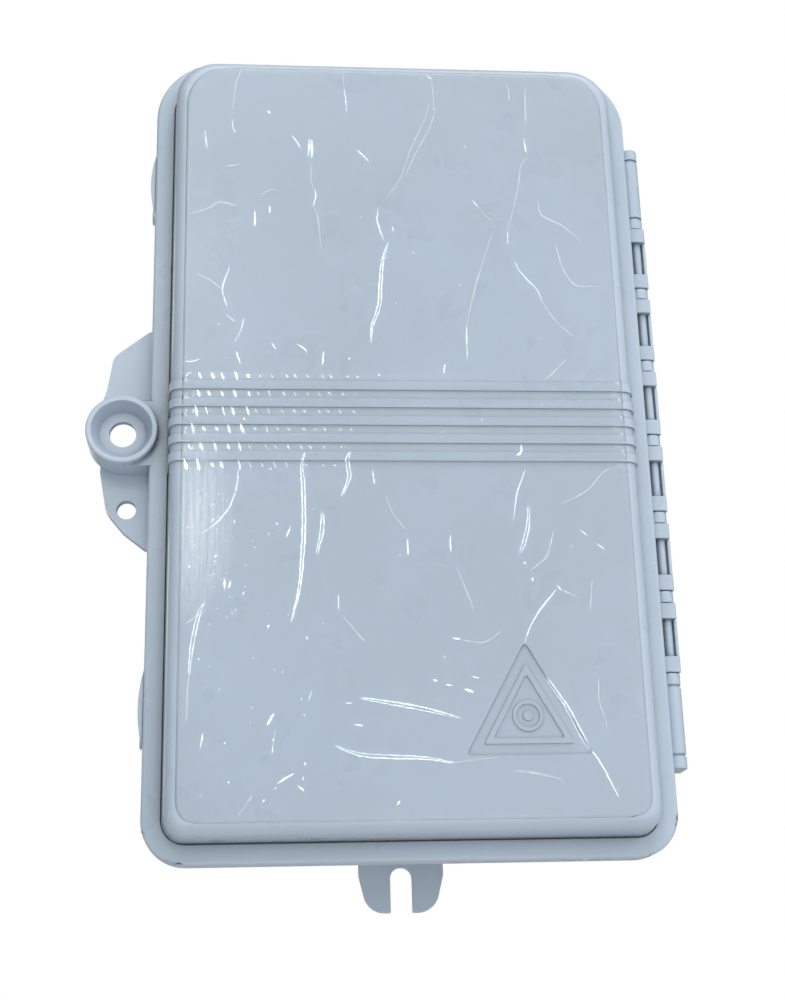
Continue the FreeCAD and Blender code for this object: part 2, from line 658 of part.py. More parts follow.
def cable_saddle(side):
    """Strap clamp over one main cable, on two screws."""
    x = side * MAIN_PORT_X
    z = (CLAMP_Z - 3.5, CLAMP_Z + 3.5)
    inner, outer = MAIN_CABLE_R + 1.0, MAIN_CABLE_R + 2.6
    depth = MAIN_PORT_DEPTH
    arch = rod_z(x, depth, outer, z).fuse(block((x - outer, x + outer), (SADDLE_FOOT_DEPTH, depth), z))
    hole = rod_z(x, depth, inner, (z[0] - 1, z[1] + 1))
    hole = hole.fuse(block((x - inner, x + inner), (5.0, depth), (z[0] - 1, z[1] + 1)))
    feet = block((x - 16.3, x + 16.3), (SADDLE_FOOT_DEPTH, SADDLE_FOOT_DEPTH + SADDLE_FOOT_T), z)
    strap = arch.fuse(feet).cut(hole)
    for dx in (-SADDLE_SCREW_DX, SADDLE_SCREW_DX):
        strap = strap.cut(rod_y(x + dx, CLAMP_Z, SCREW_R + 0.15, (5, 15)))
    return strap


def drop_cable_clamp_bar():
    """Bar with a notch over each drop cable, on two screws."""
    z = (CLAMP_Z - 3.0, CLAMP_Z + 3.0)
    foot_depth = (DROP_BAR_DEPTH, DROP_BAR_DEPTH + 2)
    screw_x = (-DROP_SCREW_X, DROP_SCREW_X)
    bar = block((-37.0, 37.0), (DROP_BAR_DEPTH + 0.4, DROP_BAR_FRONT), z)
    feet = [block((x - 4.2, x + 4.2), foot_depth, z) for x in screw_x]
    bar = fuse([bar] + feet).cut(drop_notches((z[0] - 3, z[1] + 3)))
    for x in screw_x:
        bar = bar.cut(rod_y(x, CLAMP_Z, SCREW_R + 0.15, (10, 20)))
    return bar


def strength_member_clamps():
    """Square pressed washers that grip a cable's strength member."""
    back = MEMBER_CLAMP_DEPTH
    clamps = []
    for side in (-1, 1):
        x = side * MAIN_PORT_X
        plate = block((x - 5, x + 5), (back, back + MEMBER_CLAMP_T), (MEMBER_CLAMP_Z - 5, MEMBER_CLAMP_Z + 5))
        lip = block((x - 5, x + 5), (back, back + 3.0), (MEMBER_CLAMP_Z + 3.8, MEMBER_CLAMP_Z + 5))
        clamps.append(plate.fuse(lip).cut(rod_y(x, MEMBER_CLAMP_Z, SCREW_R + 0.15, (10, 20))))
    return group(clamps)


# ---------------------------------------------------------------- screws and inserts
def pan_screw(x, z, seat, top):
    """Pan-head screw whose head rests at depth seat and whose shank ends in the insert below top."""
    shank = rod_y(x, z, SCREW_R, (top - INSERT_L, seat))
    head = rod_y(x, z, HEAD_R, (seat, seat + HEAD_L))
    head = head.makeFillet(0.8, edges_at_depth(head, seat + HEAD_L))
    screw = shank.fuse(head)
    slot_depth = (seat + HEAD_L - 0.9, seat + HEAD_L + 1)
    for half in ((1.7, 0.3), (0.3, 1.7)):
        screw = screw.cut(block((x - half[0], x + half[0]), slot_depth, (z - half[1], z + half[1])))
    return screw


def screws(places):
    return group([pan_screw(*place) for place in places])


def brass_inserts():
    rings = []
    for x, z, top in boss_places():
        ring = rod_y(x, z, INSERT_OUT_R, (top - INSERT_L, top))
        rings.append(ring.cut(rod_y(x, z, INSERT_IN_R, (top - INSERT_L - 1, top + 1))))
    return group(rings)


# ---------------------------------------------------------------- adapters
def adapter_bracket():
    """Folded plate with one cut-out for each adapter and a foot screwed to the back plate."""
    half_t = PANEL_T / 2
    across = (-60.0, 60.0)
    foot_depth = (BRACKET_FOOT_DEPTH, BRACKET_FOOT_DEPTH + PANEL_T)
    panel = block(across, (BRACKET_FOOT_DEPTH, 33.0), (PANEL_Z - half_t, PANEL_Z + half_t))
    foot = block(across, foot_depth, (PANEL_Z - half_t, PANEL_Z + 14.0))
    bracket = panel.fuse(foot)
    depth = (ADAPTER_DEPTH - ADAPTER_T / 2 - 0.1, ADAPTER_DEPTH + ADAPTER_T / 2 + 0.1)
    for x in adapter_positions():
        half = ADAPTER_W / 2 + 0.1
        bracket = bracket.cut(block((x - half, x + half), depth, (PANEL_Z - 2, PANEL_Z + 2)))
    for x, z in BRACKET_SCREWS:
        bracket = bracket.cut(rod_y(x, z, SCREW_R + 0.15, (5, 15)))
    return bracket


def sc_adapter(x):
    """Square adapter with a connector cavity at each end and a flange against the panel."""
    half_w, half_t, half_l = ADAPTER_W / 2, ADAPTER_T / 2, ADAPTER_L / 2
    depth = ADAPTER_DEPTH
    low, high = PANEL_Z - half_l, PANEL_Z + half_l
    across = (x - half_w, x + half_w)
    body = block(across, (depth - half_t, depth + half_t), (low, high))
    flange_z = (PANEL_Z + PANEL_T / 2, PANEL_Z + PANEL_T / 2 + 2.0)
    adapter = body.fuse(block(across, (depth - 10.5, depth + 10.5), flange_z))
    cuts = []
    for cavity_z in ((low - 1, PANEL_Z - 2.0), (PANEL_Z + 2.0, high + 1)):
        cuts.append(block((x - 3.7, x + 3.7), (depth - 4.6, depth + 4.6), cavity_z))
    for key_z in ((low - 1, low + 6.0), (high - 6.0, high + 1)):
        cuts.append(block((x - 1.2, x + 1.2), (depth + 4.0, depth + half_t + 1), key_z))
    sleeve = rod_z(x, depth, 1.9, (PANEL_Z - 7.5, PANEL_Z + 7.5))
    bore = rod_z(x, depth, 1.25, (PANEL_Z - 9, PANEL_Z + 9))
    return adapter.cut(fuse(cuts)).fuse(sleeve.cut(bore))


def dust_cap(x):
    """Cap pushed into an adapter's lower end, with a hollow plug and a gripped head."""
    depth = ADAPTER_DEPTH
    mouth = PANEL_Z - ADAPTER_L / 2
    plug = block((x - 3.4, x + 3.4), (depth - 4.3, depth + 4.3), (mouth, mouth + 5.5))
    plug = plug.cut(rod_z(x, depth, 2.3, (mouth, mouth + 6)))
    head = block((x - 4.4, x + 4.4), (depth - 6.2, depth + 6.2), (mouth - 3.6, mouth - 0.1))
    upright = [e for e in head.Edges if e.BoundBox.ZLength > 1]
    head = head.makeFillet(1.0, upright)
    neck = block((x - 3.4, x + 3.4), (depth - 4.3, depth + 4.3), (mouth - 0.2, mouth + 0.2))
    return fuse([head, neck, plug])


# ---------------------------------------------------------------- splice tray and storage
def tray_slab(inset, depth, radius=12.0):
    points = rectangle(TRAY_HALF_W - inset, (TRAY_Z[0] + inset, TRAY_Z[1] - inset))
    return slab(points, [radius - inset] * 4, depth)


def splice_tray():
    """Open tray with round fibre guides, entry gaps and four screw holes."""
    front = TRAY_BACK + TRAY_H
    tray = tray_slab(0, (TRAY_BACK, front)).cut(tray_slab(TRAY_T, (TRAY_BACK + TRAY_T, front + 1)))
    guides = []
    for z in (0.0, 75.0):
        ring = rod_y(0, z, 22.0, (TRAY_BACK + 1, front - 1.5)).cut(rod_y(0, z, 20.6, (TRAY_BACK, front)))
        for turn in range(4):
            gap = block((-4, 4), (TRAY_BACK + TRAY_T, front), (z + 15, z + 26))
            gap.rotate(Vector(0, 0, z), Vector(0, 1, 0), turn * 90 + 45)
            ring = ring.cut(gap)
        guides.append(ring)
        for turn in range(4):
            lip = block((-2.5, 2.5), (front - 2.6, front - 1.5), (z + 21, z + 26.5))
            lip.rotate(Vector(0, 0, z), Vector(0, 1, 0), turn * 90)
            guides.append(lip)
    tray = fuse([tray] + guides)
    for x, z in TRAY_POSTS:
        tray = tray.cut(rod_y(x, z, SCREW_R + 0.15, (TRAY_BACK - 1, TRAY_BACK + TRAY_T + 1)))
    entries = [block((x - 5, x + 5), (TRAY_BACK + TRAY_T + 1, front + 1), (TRAY_Z[0] - 1, TRAY_Z[0] + 3))
               for x in (-30.0, 30.0)]
    return tray.cut(Part.makeCompound(entries))


def splice_tray_lid():
    """Clear lid that snaps on the tray, with a finger notch and two side clips."""
    front = TRAY_BACK + TRAY_H
    lid = tray_slab(0.3, (front + 0.05, front + 1.25))
    lid = lid.cut(rod_y(0, TRAY_Z[0], 7.0, (front - 1, front + 3)))
    clips = []
    for side in (-1, 1):
        x = sorted((side * (TRAY_HALF_W + 0.2), side * (TRAY_HALF_W + 1.4)))
        arm = block(x, (front - 5.0, front + 1.25), (30.0, 45.0))
        bridge_x = sorted((side * (TRAY_HALF_W - 2.0), side * (TRAY_HALF_W + 1.4)))
        clips += [arm, block(bridge_x, (front + 0.05, front + 1.25), (30.0, 45.0))]
    return fuse([lid] + clips)


def splice_sleeve_holder():
    """Comb with a slot for each splice sleeve, in two rows of fins on one foot."""
    low = TRAY_BACK + TRAY_T
    parts = [block((-18.0, 18.0), (low, low + 1.0), (25.5, 49.5))]
    for x in (-17.0, 7.0):
        for i in range(7):
            z = 26.0 + i * 3.7
            parts.append(block((x, x + 10.0), (low + 0.5, low + 5.5), (z, z + 0.9)))
    return fuse(parts)


def fibre_storage_guides():
    """Four L-shaped clips on the back plate that hold the slack fibre loops."""
    guides = []
    for x, z in ((-46.0, 10.0), (46.0, 10.0), (-46.0, 78.0), (46.0, 78.0)):
        inward = -1 if x > 0 else 1
        post = block((x - 1.2, x + 1.2), (BACK_T, 22.0), (z - 6, z + 6))
        arm_x = sorted((x - inward * 1.2, x + inward * 14.0))
        arm = block(arm_x, (20.0, 22.0), (z - 6, z + 6))
        foot = block((x - 5, x + 5), (BACK_T, BACK_T + 1.6), (z - 6, z + 6))
        guides.append(fuse([post, arm, foot]))
    return group(guides)


# ---------------------------------------------------------------- all nodes
def screw_places(seat, top, spots):
    return [(x, z, seat, top) for x, z in spots]


def nodes():
    result = {
        "base_back_plate": base_back_plate(),
        "insert_bosses": insert_bosses(),
        "cable_rests": cable_rests(),
        "base_walls": base_walls(),
        "cable_entry_wall": cable_entry_wall(),
        "base_rim": base_rim(),
        "lock_ear": lock_ear(),
        "wall_tab_bottom": wall_tab_bottom(),
        "wall_tab_top": wall_tab_top(),
        "hinge_column": hinge_column(),
        "front_cover": front_cover(),
        "lock_boss": lock_boss(),
        "cover_hinge_segments": cover_hinge_segments(),
        "protective_film": protective_film(),
        "rim_gasket": rim_gasket(),
        "cable_grommet_left": cable_grommet(-MAIN_PORT_X),
        "cable_grommet_right": cable_grommet(MAIN_PORT_X),
        "drop_cable_seal": drop_cable_seal(),
        "cable_saddle_left": cable_saddle(-1),
        "cable_saddle_right": cable_saddle(1),
        "drop_cable_clamp_bar": drop_cable_clamp_bar(),
        "strength_member_clamps": strength_member_clamps(),
        "adapter_bracket": adapter_bracket(),
        "splice_tray": splice_tray(),
        "splice_tray_lid": splice_tray_lid(),
        "splice_sleeve_holder": splice_sleeve_holder(),
        "fibre_storage_guides": fibre_storage_guides(),
        "brass_inserts": brass_inserts(),
    }
    clamp_sides = (-1, 1)
    saddle_dx = (-SADDLE_SCREW_DX, SADDLE_SCREW_DX)
    saddle_spots = [(side * (MAIN_PORT_X + dx), CLAMP_Z) for side in clamp_sides for dx in saddle_dx]
    saddle_front = SADDLE_FOOT_DEPTH + SADDLE_FOOT_T
    result["cable_saddle_screws"] = screws(screw_places(saddle_front, SADDLE_FOOT_DEPTH, saddle_spots))
    bar_spots = [(side * DROP_SCREW_X, CLAMP_Z) for side in clamp_sides]
    result["drop_clamp_screws"] = screws(screw_places(DROP_BAR_FRONT, DROP_BAR_DEPTH, bar_spots))
    member_spots = [(side * MAIN_PORT_X, MEMBER_CLAMP_Z) for side in clamp_sides]
    member_front = MEMBER_CLAMP_DEPTH + MEMBER_CLAMP_T
    result["strength_member_screws"] = screws(screw_places(member_front, MEMBER_CLAMP_DEPTH, member_spots))
    foot_front = BRACKET_FOOT_DEPTH + PANEL_T
    result["adapter_bracket_screws"] = screws(screw_places(foot_front, BRACKET_FOOT_DEPTH, BRACKET_SCREWS))
    result["splice_tray_screws"] = screws(screw_places(TRAY_BACK + TRAY_T, TRAY_BACK, TRAY_POSTS))
    for i, x in enumerate(adapter_positions(), start=1):
        result["sc_adapter_%d" % i] = sc_adapter(x)
        result["dust_cap_%d" % i] = dust_cap(x)
    return result


os.makedirs("parts", exist_ok=True)
for name, shape in nodes().items():
    solids = shape.Solids
    print("%-26s solids %2d  volume %9.1f  valid %s" % (name, len(solids), shape.Volume, shape.isValid()))
    shape.exportStep("parts/%s.step" % name)
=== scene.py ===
import json
import math
import random

import bmesh
import bpy
from mathutils import Matrix, Vector, noise
from mathutils.bvhtree import BVHTree
from mathutils.geometry import delaunay_2d_cdt

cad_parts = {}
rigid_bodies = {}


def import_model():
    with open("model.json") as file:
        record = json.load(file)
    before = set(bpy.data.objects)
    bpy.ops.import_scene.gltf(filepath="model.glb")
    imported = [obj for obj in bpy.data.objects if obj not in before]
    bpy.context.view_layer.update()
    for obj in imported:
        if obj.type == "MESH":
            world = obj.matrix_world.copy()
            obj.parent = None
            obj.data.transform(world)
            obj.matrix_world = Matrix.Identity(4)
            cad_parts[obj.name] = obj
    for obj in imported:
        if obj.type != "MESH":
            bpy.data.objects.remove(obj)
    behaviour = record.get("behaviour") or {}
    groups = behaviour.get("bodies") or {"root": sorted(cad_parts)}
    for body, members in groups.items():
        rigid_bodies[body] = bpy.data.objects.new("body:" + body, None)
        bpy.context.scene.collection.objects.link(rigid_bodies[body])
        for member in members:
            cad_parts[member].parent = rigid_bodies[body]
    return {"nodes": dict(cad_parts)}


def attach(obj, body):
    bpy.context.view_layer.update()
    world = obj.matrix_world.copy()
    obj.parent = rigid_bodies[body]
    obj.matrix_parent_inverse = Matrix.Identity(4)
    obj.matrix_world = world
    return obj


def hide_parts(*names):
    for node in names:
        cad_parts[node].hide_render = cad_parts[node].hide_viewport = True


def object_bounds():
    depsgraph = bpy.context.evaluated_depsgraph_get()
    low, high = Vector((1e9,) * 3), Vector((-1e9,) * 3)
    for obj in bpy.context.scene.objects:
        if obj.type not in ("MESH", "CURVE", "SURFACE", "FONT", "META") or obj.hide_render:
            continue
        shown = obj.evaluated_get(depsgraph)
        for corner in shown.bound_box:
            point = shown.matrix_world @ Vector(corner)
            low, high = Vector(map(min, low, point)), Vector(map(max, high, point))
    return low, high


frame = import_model()
cad_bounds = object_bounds()

nodes = frame["nodes"]
MM = 0.001

# The photograph's camera: below the middle and to the left, looking up. Places are in metres, and the
# lens and the sensor in millimetres.
CAMERA_LENS = 57.6
CAMERA_SENSOR = 36.0
CAMERA_PLACE = (-0.0476, -0.541, -0.1902)
CAMERA_AHEAD = (0.0844, 0.9439, 0.3192)
CAMERA_RIGHT = (0.9964, -0.0805, -0.0255)
CAMERA_CLIP = 0.01

# Light. Each lamp is a name, a place, a size in metres and a power in watts.
LAMP_TARGET = (0.0, -0.05, 0.0)
LAMPS = [
    ("front_right", (0.98, -1.4, 0.38), (1.0, 0.8), 3.0),
    ("top", (0.15, -0.75, 1.2), (1.0, 0.6), 7.0),
    ("left_strip", (-0.33, -1.46, 0.66), (0.12, 0.55), 2.2),
    ("low_front", (0.13, -1.2, -0.38), (0.22, 0.06), 1.4),
    ("behind", (-1.0, 1.2, 0.5), (0.8, 0.8), 6.0),
]
BRIGHT_SKY = (0.5, -0.75, 0.5)   # the world is brightest in front, to the upper right
SKY_LIGHT = (0.2, 0.91)          # how strongly it lights, away from that direction and towards it
SKY_SPREAD = (0.3, 1.0)          # the cosines to the brightest direction between which it grows
FLOOR_LEVEL = -0.5               # well below the box, which hangs on a wall
FLOOR_REACH = 4.0

# Rounded edges, and the mending of the flat faces that the rounding breaks. Distances are in metres.
BEVEL_ANGLE = math.radians(28)
SHARP_ANGLE = math.radians(32)
BEVEL_SEGMENTS = 2
JOIN_ANGLE = math.radians(0.4)
JOIN_DISTANCE = 2e-6         # points this near are one point
FLAT_DISTANCE = 5e-6         # how far from a plane a point may be and count as in it
FLAT_COSINE = 0.99999        # faces nearer parallel than this lie in one plane
FOLDED_COSINE = 0.001        # a face as square to its neighbours as this has no size
CROSSED_AREA = 1.0005        # a face drawn larger than this times its area crosses itself
CDT_EPSILON = 1e-5           # points this near are one point to the triangulation, in millimetres
ONE_WAY = 0.5                # the mean normal of faces that all face one way is longer than this


# ---------------------------------------------------------------- node helpers
def new_material(name):
    """An empty node material with its output node."""
    material = bpy.data.materials.new(name)
    material.use_nodes = True
    tree = material.node_tree
    tree.nodes.clear()
    output = tree.nodes.new("ShaderNodeOutputMaterial")
    return material, tree, output


def add(tree, kind, **settings):
    """A node with its properties and unlinked input values set by name."""
    node = tree.nodes.new(kind)
    for key, value in settings.items():
        if key in node.inputs:
            node.inputs[key].default_value = value
        else:
            setattr(node, key, value)
    return node


def place(tree):
    """Coordinates in metres in the row frame."""
    return tree.nodes.new("ShaderNodeTexCoord").outputs["Object"]


def noise_value(tree, scale, detail=3.0, rough=0.5, stretch=(1, 1, 1)):
    """A noise in row-frame metres, scale cells per metre."""
    mapping = add(tree, "ShaderNodeMapping")
    mapping.inputs["Scale"].default_value = stretch
    tree.links.new(place(tree), mapping.inputs["Vector"])
    texture = add(tree, "ShaderNodeTexNoise", Scale=scale, Detail=detail, Roughness=rough)
    tree.links.new(mapping.outputs["Vector"], texture.inputs["Vector"])
    return texture.outputs["Fac"]


def between(tree, value, low, high, start=0.3, end=0.7):
    """A value moved from start..end to low..high."""
    node = add(tree, "ShaderNodeMapRange")
    node.inputs["From Min"].default_value = start
    node.inputs["From Max"].default_value = end
    node.inputs["To Min"].default_value = low
    node.inputs["To Max"].default_value = high
    tree.links.new(value, node.inputs["Value"])
    return node.outputs["Result"]


def colour_mix(tree, value, first, second):
    """A colour between two colours."""
    node = add(tree, "ShaderNodeMix", data_type="RGBA")
    node.inputs["A"].default_value = (*first, 1.0)
    node.inputs["B"].default_value = (*second, 1.0)
    tree.links.new(value, node.inputs["Factor"])
    return node.outputs["Result"]


def math_node(tree, operation, first, second):
    """The sum or the product of two values."""
    node = add(tree, "ShaderNodeMath", operation=operation)
    tree.links.new(first, node.inputs[0])
    tree.links.new(second, node.inputs[1])
    return node.outputs["Value"]


def shader_mix(tree, value, first, second):
    """A mix of the surfaces of two nodes."""
    node = tree.nodes.new("ShaderNodeMixShader")
    tree.links.new(value, node.inputs["Fac"])
    tree.links.new(first.outputs[0], node.inputs[1])
    tree.links.new(second.outputs[0], node.inputs[2])
    return node


def painted_shade_in_hollows(tree, colour, reach, darkest, closed, clear):
    """A colour with painted shade: darker in the grooves, pockets and inner corners of the piece itself.

    The hollows are those within reach metres. A place that sees less than closed of its surroundings is
    darkest, and one that sees more than clear keeps the colour.
    """
    hollow = add(tree, "ShaderNodeAmbientOcclusion", samples=4, only_local=True, Distance=reach)
    shade = between(tree, hollow.outputs["AO"], darkest, 1.0, closed, clear)
    node = add(tree, "ShaderNodeMix", data_type="RGBA", blend_type="MULTIPLY")
    node.inputs["Factor"].default_value = 1.0
    tree.links.new(colour, node.inputs["A"])
    tree.links.new(shade, node.inputs["B"])
    return node.outputs["Result"]


def bump(tree, height, distance, strength=1.0, normal=None):
    """A bump in metres, which may follow another."""
    node = add(tree, "ShaderNodeBump", Strength=strength, Distance=distance)
    tree.links.new(height, node.inputs["Height"])
    if normal is not None:
        tree.links.new(normal, node.inputs["Normal"])
    return node.outputs["Normal"]


def shaded(rgb, factor):
    """A colour made darker or lighter."""
    return tuple(min(1.0, c * factor) for c in rgb)


def linear(red, green, blue):
    """A colour given in display values 0..255 as linear light."""
    def one(value):
        value = value / 255
        return value / 12.92 if value <= 0.04045 else ((value + 0.055) / 1.055) ** 2.4
    return one(red), one(green), one(blue)


# ---------------------------------------------------------------- materials
PLASTIC_DRIFT = 0.035        # how far a moulding's colour strays, as a share
SHADOW_LEFT_OUT = 0.5        # the share of a clear sheet's own shadow that is left out


def moulded_plastic(name, rgb, rough):
    """Moulded plastic: soft colour drift, painted shade in its hollows, fine spark-eroded grain, faint flow
    lines and uneven gloss.
    """
    material, tree, output = new_material(name)
    shader = add(tree, "ShaderNodeBsdfPrincipled")
    shader.inputs["Specular IOR Level"].default_value = 0.5
    shader.inputs["IOR"].default_value = 1.53
    drift = between(tree, noise_value(tree, scale=14.0, detail=2.0), 0.0, 1.0)
    colour = colour_mix(tree, drift, shaded(rgb, 1 - PLASTIC_DRIFT), shaded(rgb, 1 + PLASTIC_DRIFT))
    # painted shade: the colour is darkened in the piece's own deep hollows and fine grooves
    colour = painted_shade_in_hollows(tree, colour, reach=0.009, darkest=0.3, closed=0.3, clear=0.8)
    colour = painted_shade_in_hollows(tree, colour, reach=0.0012, darkest=0.6, closed=0.45, clear=0.92)
    tree.links.new(colour, shader.inputs["Base Color"])
    gloss = noise_value(tree, scale=60.0, detail=4.0)
    tree.links.new(between(tree, gloss, rough - 0.05, rough + 0.06), shader.inputs["Roughness"])
    grain = bump(tree, noise_value(tree, scale=1400.0, detail=2.0), distance=0.000012)
    flow = noise_value(tree, scale=22.0, detail=1.0, stretch=(1, 1, 0.35))
    waves = bump(tree, flow, distance=0.0001, strength=0.5, normal=grain)
    tree.links.new(waves, shader.inputs["Normal"])
    tree.links.new(shader.outputs["BSDF"], output.inputs["Surface"])
    return material


def rubber(name, rgb, rough=0.72):
    """Soft matt rubber with a dusty bloom and fine pores."""
    material, tree, output = new_material(name)
    shader = add(tree, "ShaderNodeBsdfPrincipled")
    bloom = noise_value(tree, scale=90.0, detail=5.0, rough=0.6)
    colour = colour_mix(tree, between(tree, bloom, 0.0, 1.0), rgb, shaded(rgb, 1.9))
    tree.links.new(colour, shader.inputs["Base Color"])
    tree.links.new(between(tree, bloom, rough - 0.08, rough + 0.12), shader.inputs["Roughness"])
    shader.inputs["Specular IOR Level"].default_value = 0.35
    pores = bump(tree, noise_value(tree, scale=2600.0, detail=2.0), distance=0.00002)
    tree.links.new(pores, shader.inputs["Normal"])
    tree.links.new(shader.outputs["BSDF"], output.inputs["Surface"])
    return material


def metal(name, rgb, rough):
    """Plated or turned metal with fine scratches and clouded gloss."""
    material, tree, output = new_material(name)
    shader = add(tree, "ShaderNodeBsdfPrincipled")
    shader.inputs["Metallic"].default_value = 1.0
    cloud = noise_value(tree, scale=160.0, detail=4.0)
    colour = colour_mix(tree, between(tree, cloud, 0.0, 1.0), shaded(rgb, 0.86), rgb)
    tree.links.new(colour, shader.inputs["Base Color"])
    tree.links.new(between(tree, cloud, rough - 0.08, rough + 0.1), shader.inputs["Roughness"])
    scratches = noise_value(tree, scale=900.0, detail=3.0, rough=0.6)
    tree.links.new(bump(tree, scratches, distance=0.000012), shader.inputs["Normal"])
    tree.links.new(shader.outputs["BSDF"], output.inputs["Surface"])
    return material


def powder_coat(name, rgb, rough=0.5):
    """Powder-coated sheet steel with orange peel."""
    material, tree, output = new_material(name)
    shader = add(tree, "ShaderNodeBsdfPrincipled")
    drift = noise_value(tree, scale=40.0, detail=3.0)
    colour = colour_mix(tree, between(tree, drift, 0.0, 1.0), shaded(rgb, 0.95), shaded(rgb, 1.03))
    tree.links.new(colour, shader.inputs["Base Color"])
    tree.links.new(between(tree, drift, rough - 0.05, rough + 0.05), shader.inputs["Roughness"])
    peel = bump(tree, noise_value(tree, scale=1100.0, detail=1.0), distance=0.00004, strength=0.6)
    tree.links.new(peel, shader.inputs["Normal"])
    tree.links.new(shader.outputs["BSDF"], output.inputs["Surface"])
    return material


def painted_glare_value(tree, centre, reach, strength):
    """A soft oval of painted reflection round a place, broken into upright streaks and fine dots."""
    mapping = add(tree, "ShaderNodeMapping", vector_type="TEXTURE")
    mapping.inputs["Location"].default_value = (centre[0], 0.0, centre[1])
    mapping.inputs["Scale"].default_value = (reach[0], 1.0, reach[1])
    tree.links.new(place(tree), mapping.inputs["Vector"])
    oval = add(tree, "ShaderNodeTexGradient", gradient_type="SPHERICAL")
    tree.links.new(mapping.outputs["Vector"], oval.inputs["Vector"])
    streaks = noise_value(tree, scale=900.0, detail=2.0, stretch=(1, 1, 0.04))
    cloud = between(tree, oval.outputs["Fac"], 0.0, strength, 0.0, 0.9)
    return math_node(tree, "MULTIPLY", cloud, between(tree, streaks, 0.35, 1.0))


def clear_sheet(name, haze, rough, streaks=(1, 1, 0.5), patch=None):
    """Clear plastic: see-through, with a glossy skin and an uneven white haze.

    A patch is a place (x, z), a reach (x, z) in metres and how much of the sheet is whitened there with
    upright streaks, as a painted reflection.
    """
    material, tree, output = new_material(name)
    see = add(tree, "ShaderNodeBsdfTransparent", Color=(1.0, 1.0, 1.0, 1.0))
    wear = noise_value(tree, scale=70.0, detail=5.0, rough=0.62, stretch=streaks)
    waves = bump(tree, noise_value(tree, scale=160.0, detail=2.0, stretch=(1, 1, 0.35)), 0.00005, 0.6)
    gloss = add(tree, "ShaderNodeBsdfGlossy", Color=(1.0, 1.0, 1.0, 1.0))
    tree.links.new(between(tree, wear, rough, rough + 0.1), gloss.inputs["Roughness"])
    tree.links.new(waves, gloss.inputs["Normal"])
    edge = add(tree, "ShaderNodeFresnel", IOR=1.36)
    skin = shader_mix(tree, edge.outputs["Fac"], see, gloss)
    cloud = add(tree, "ShaderNodeBsdfPrincipled")
    cloud.inputs["Base Color"].default_value = (0.84, 0.93, 1.0, 1.0)
    cloud.inputs["Roughness"].default_value = 0.3
    cover = between(tree, wear, 0.7 * haze, haze, 0.42, 0.75)
    # painted reflection: the sheet is whitened more within the patch
    if patch is not None:
        cover = math_node(tree, "ADD", cover, painted_glare_value(tree, *patch))
    sheet = shader_mix(tree, cover, skin, cloud)
    rays = tree.nodes.new("ShaderNodeLightPath")
    unshaded = between(tree, rays.outputs["Is Shadow Ray"], 0.0, SHADOW_LEFT_OUT, 0.0, 1.0)
    whole = shader_mix(tree, unshaded, sheet, see)
    tree.links.new(whole.outputs[0], output.inputs["Surface"])
    return material


def crease_film(name, cover, glow):
    """Creased film, whitened where it is folded, with a painted glint that glows though it is no lamp, and a
    cover broken up along the fold.
    """
    material, tree, output = new_material(name)
    see = add(tree, "ShaderNodeBsdfTransparent", Color=(1.0, 1.0, 1.0, 1.0))
    white = add(tree, "ShaderNodeBsdfPrincipled")
    white.inputs["Base Color"].default_value = (0.9, 0.96, 1.0, 1.0)
    white.inputs["Roughness"].default_value = 0.18
    # painted glint: the folds glow with light of their own
    white.inputs["Emission Color"].default_value = (0.9, 0.96, 1.0, 1.0)
    white.inputs["Emission Strength"].default_value = glow
    broken = noise_value(tree, scale=420.0, detail=3.0, rough=0.6)
    tree.links.new(bump(tree, broken, distance=0.00008), white.inputs["Normal"])
    mix = shader_mix(tree, between(tree, broken, 0.45 * cover, cover, 0.35, 0.6), see, white)
    tree.links.new(mix.outputs[0], output.inputs["Surface"])
    return material


FILM_PAINTED_GLARE = ((-0.0665, -0.036), (0.013, 0.034), 0.62)   # a painted reflection: the film is whitened low on the left
MATERIALS = {
    "shell_abs": moulded_plastic("shell_abs", linear(186, 201, 215), 0.3),
    "clear_film": clear_sheet("clear_film", 0.06, 0.06, patch=FILM_PAINTED_GLARE),
    "seal_rubber": rubber("seal_rubber", linear(62, 64, 68)),
    "grommet_rubber": rubber("grommet_rubber", linear(38, 38, 41)),
    "clamp_plastic": moulded_plastic("clamp_plastic", linear(226, 227, 224), 0.48),
    "zinc_steel": metal("zinc_steel", linear(196, 199, 204), 0.3),
    "bracket_steel": powder_coat("bracket_steel", linear(214, 218, 221)),
    "tray_plastic": moulded_plastic("tray_plastic", linear(232, 234, 233), 0.42),
    "clear_lid": clear_sheet("clear_lid", 0.14, 0.06, streaks=(1, 1, 1)),
    "holder_rubber": rubber("holder_rubber", linear(46, 46, 49)),
    "adapter_blue": moulded_plastic("adapter_blue", linear(30, 92, 178), 0.33),
    "cap_plastic": moulded_plastic("cap_plastic", linear(236, 236, 230), 0.45),
    "insert_brass": metal("insert_brass", linear(206, 170, 96), 0.28),
}


# ---------------------------------------------------------------- meshes
def piece_from(name, mesh, slot, body):
    """A mesh as a finished piece: its material, its slot and the body it rides on."""
    obj = bpy.data.objects.new(name, mesh)
    bpy.context.scene.collection.objects.link(obj)
    mesh.materials.clear()
    mesh.materials.append(MATERIALS[slot])
    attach(obj, body)
    return obj


def apply_modifiers(obj):
    """Bakes an object's modifiers into its mesh."""
    graph = bpy.context.evaluated_depsgraph_get()
    done = bpy.data.meshes.new_from_object(obj.evaluated_get(graph))
    obj.modifiers.clear()
    old = obj.data
    obj.data = done
    bpy.data.meshes.remove(old)


def keep_in_box(obj):
    """Brings any point that a rounding or a ripple has pushed out back onto the CAD model's box."""
    low, high = cad_bounds
    for vert in obj.data.vertices:
        vert.co = [min(max(value, least), most) for value, least, most in zip(vert.co, low, high)]


def cleaned_copy(node):
    """A node's mesh with its seams joined and its flat faces whole."""
    mesh = nodes[node].data.copy()
    tidy_faces(mesh)
    return mesh


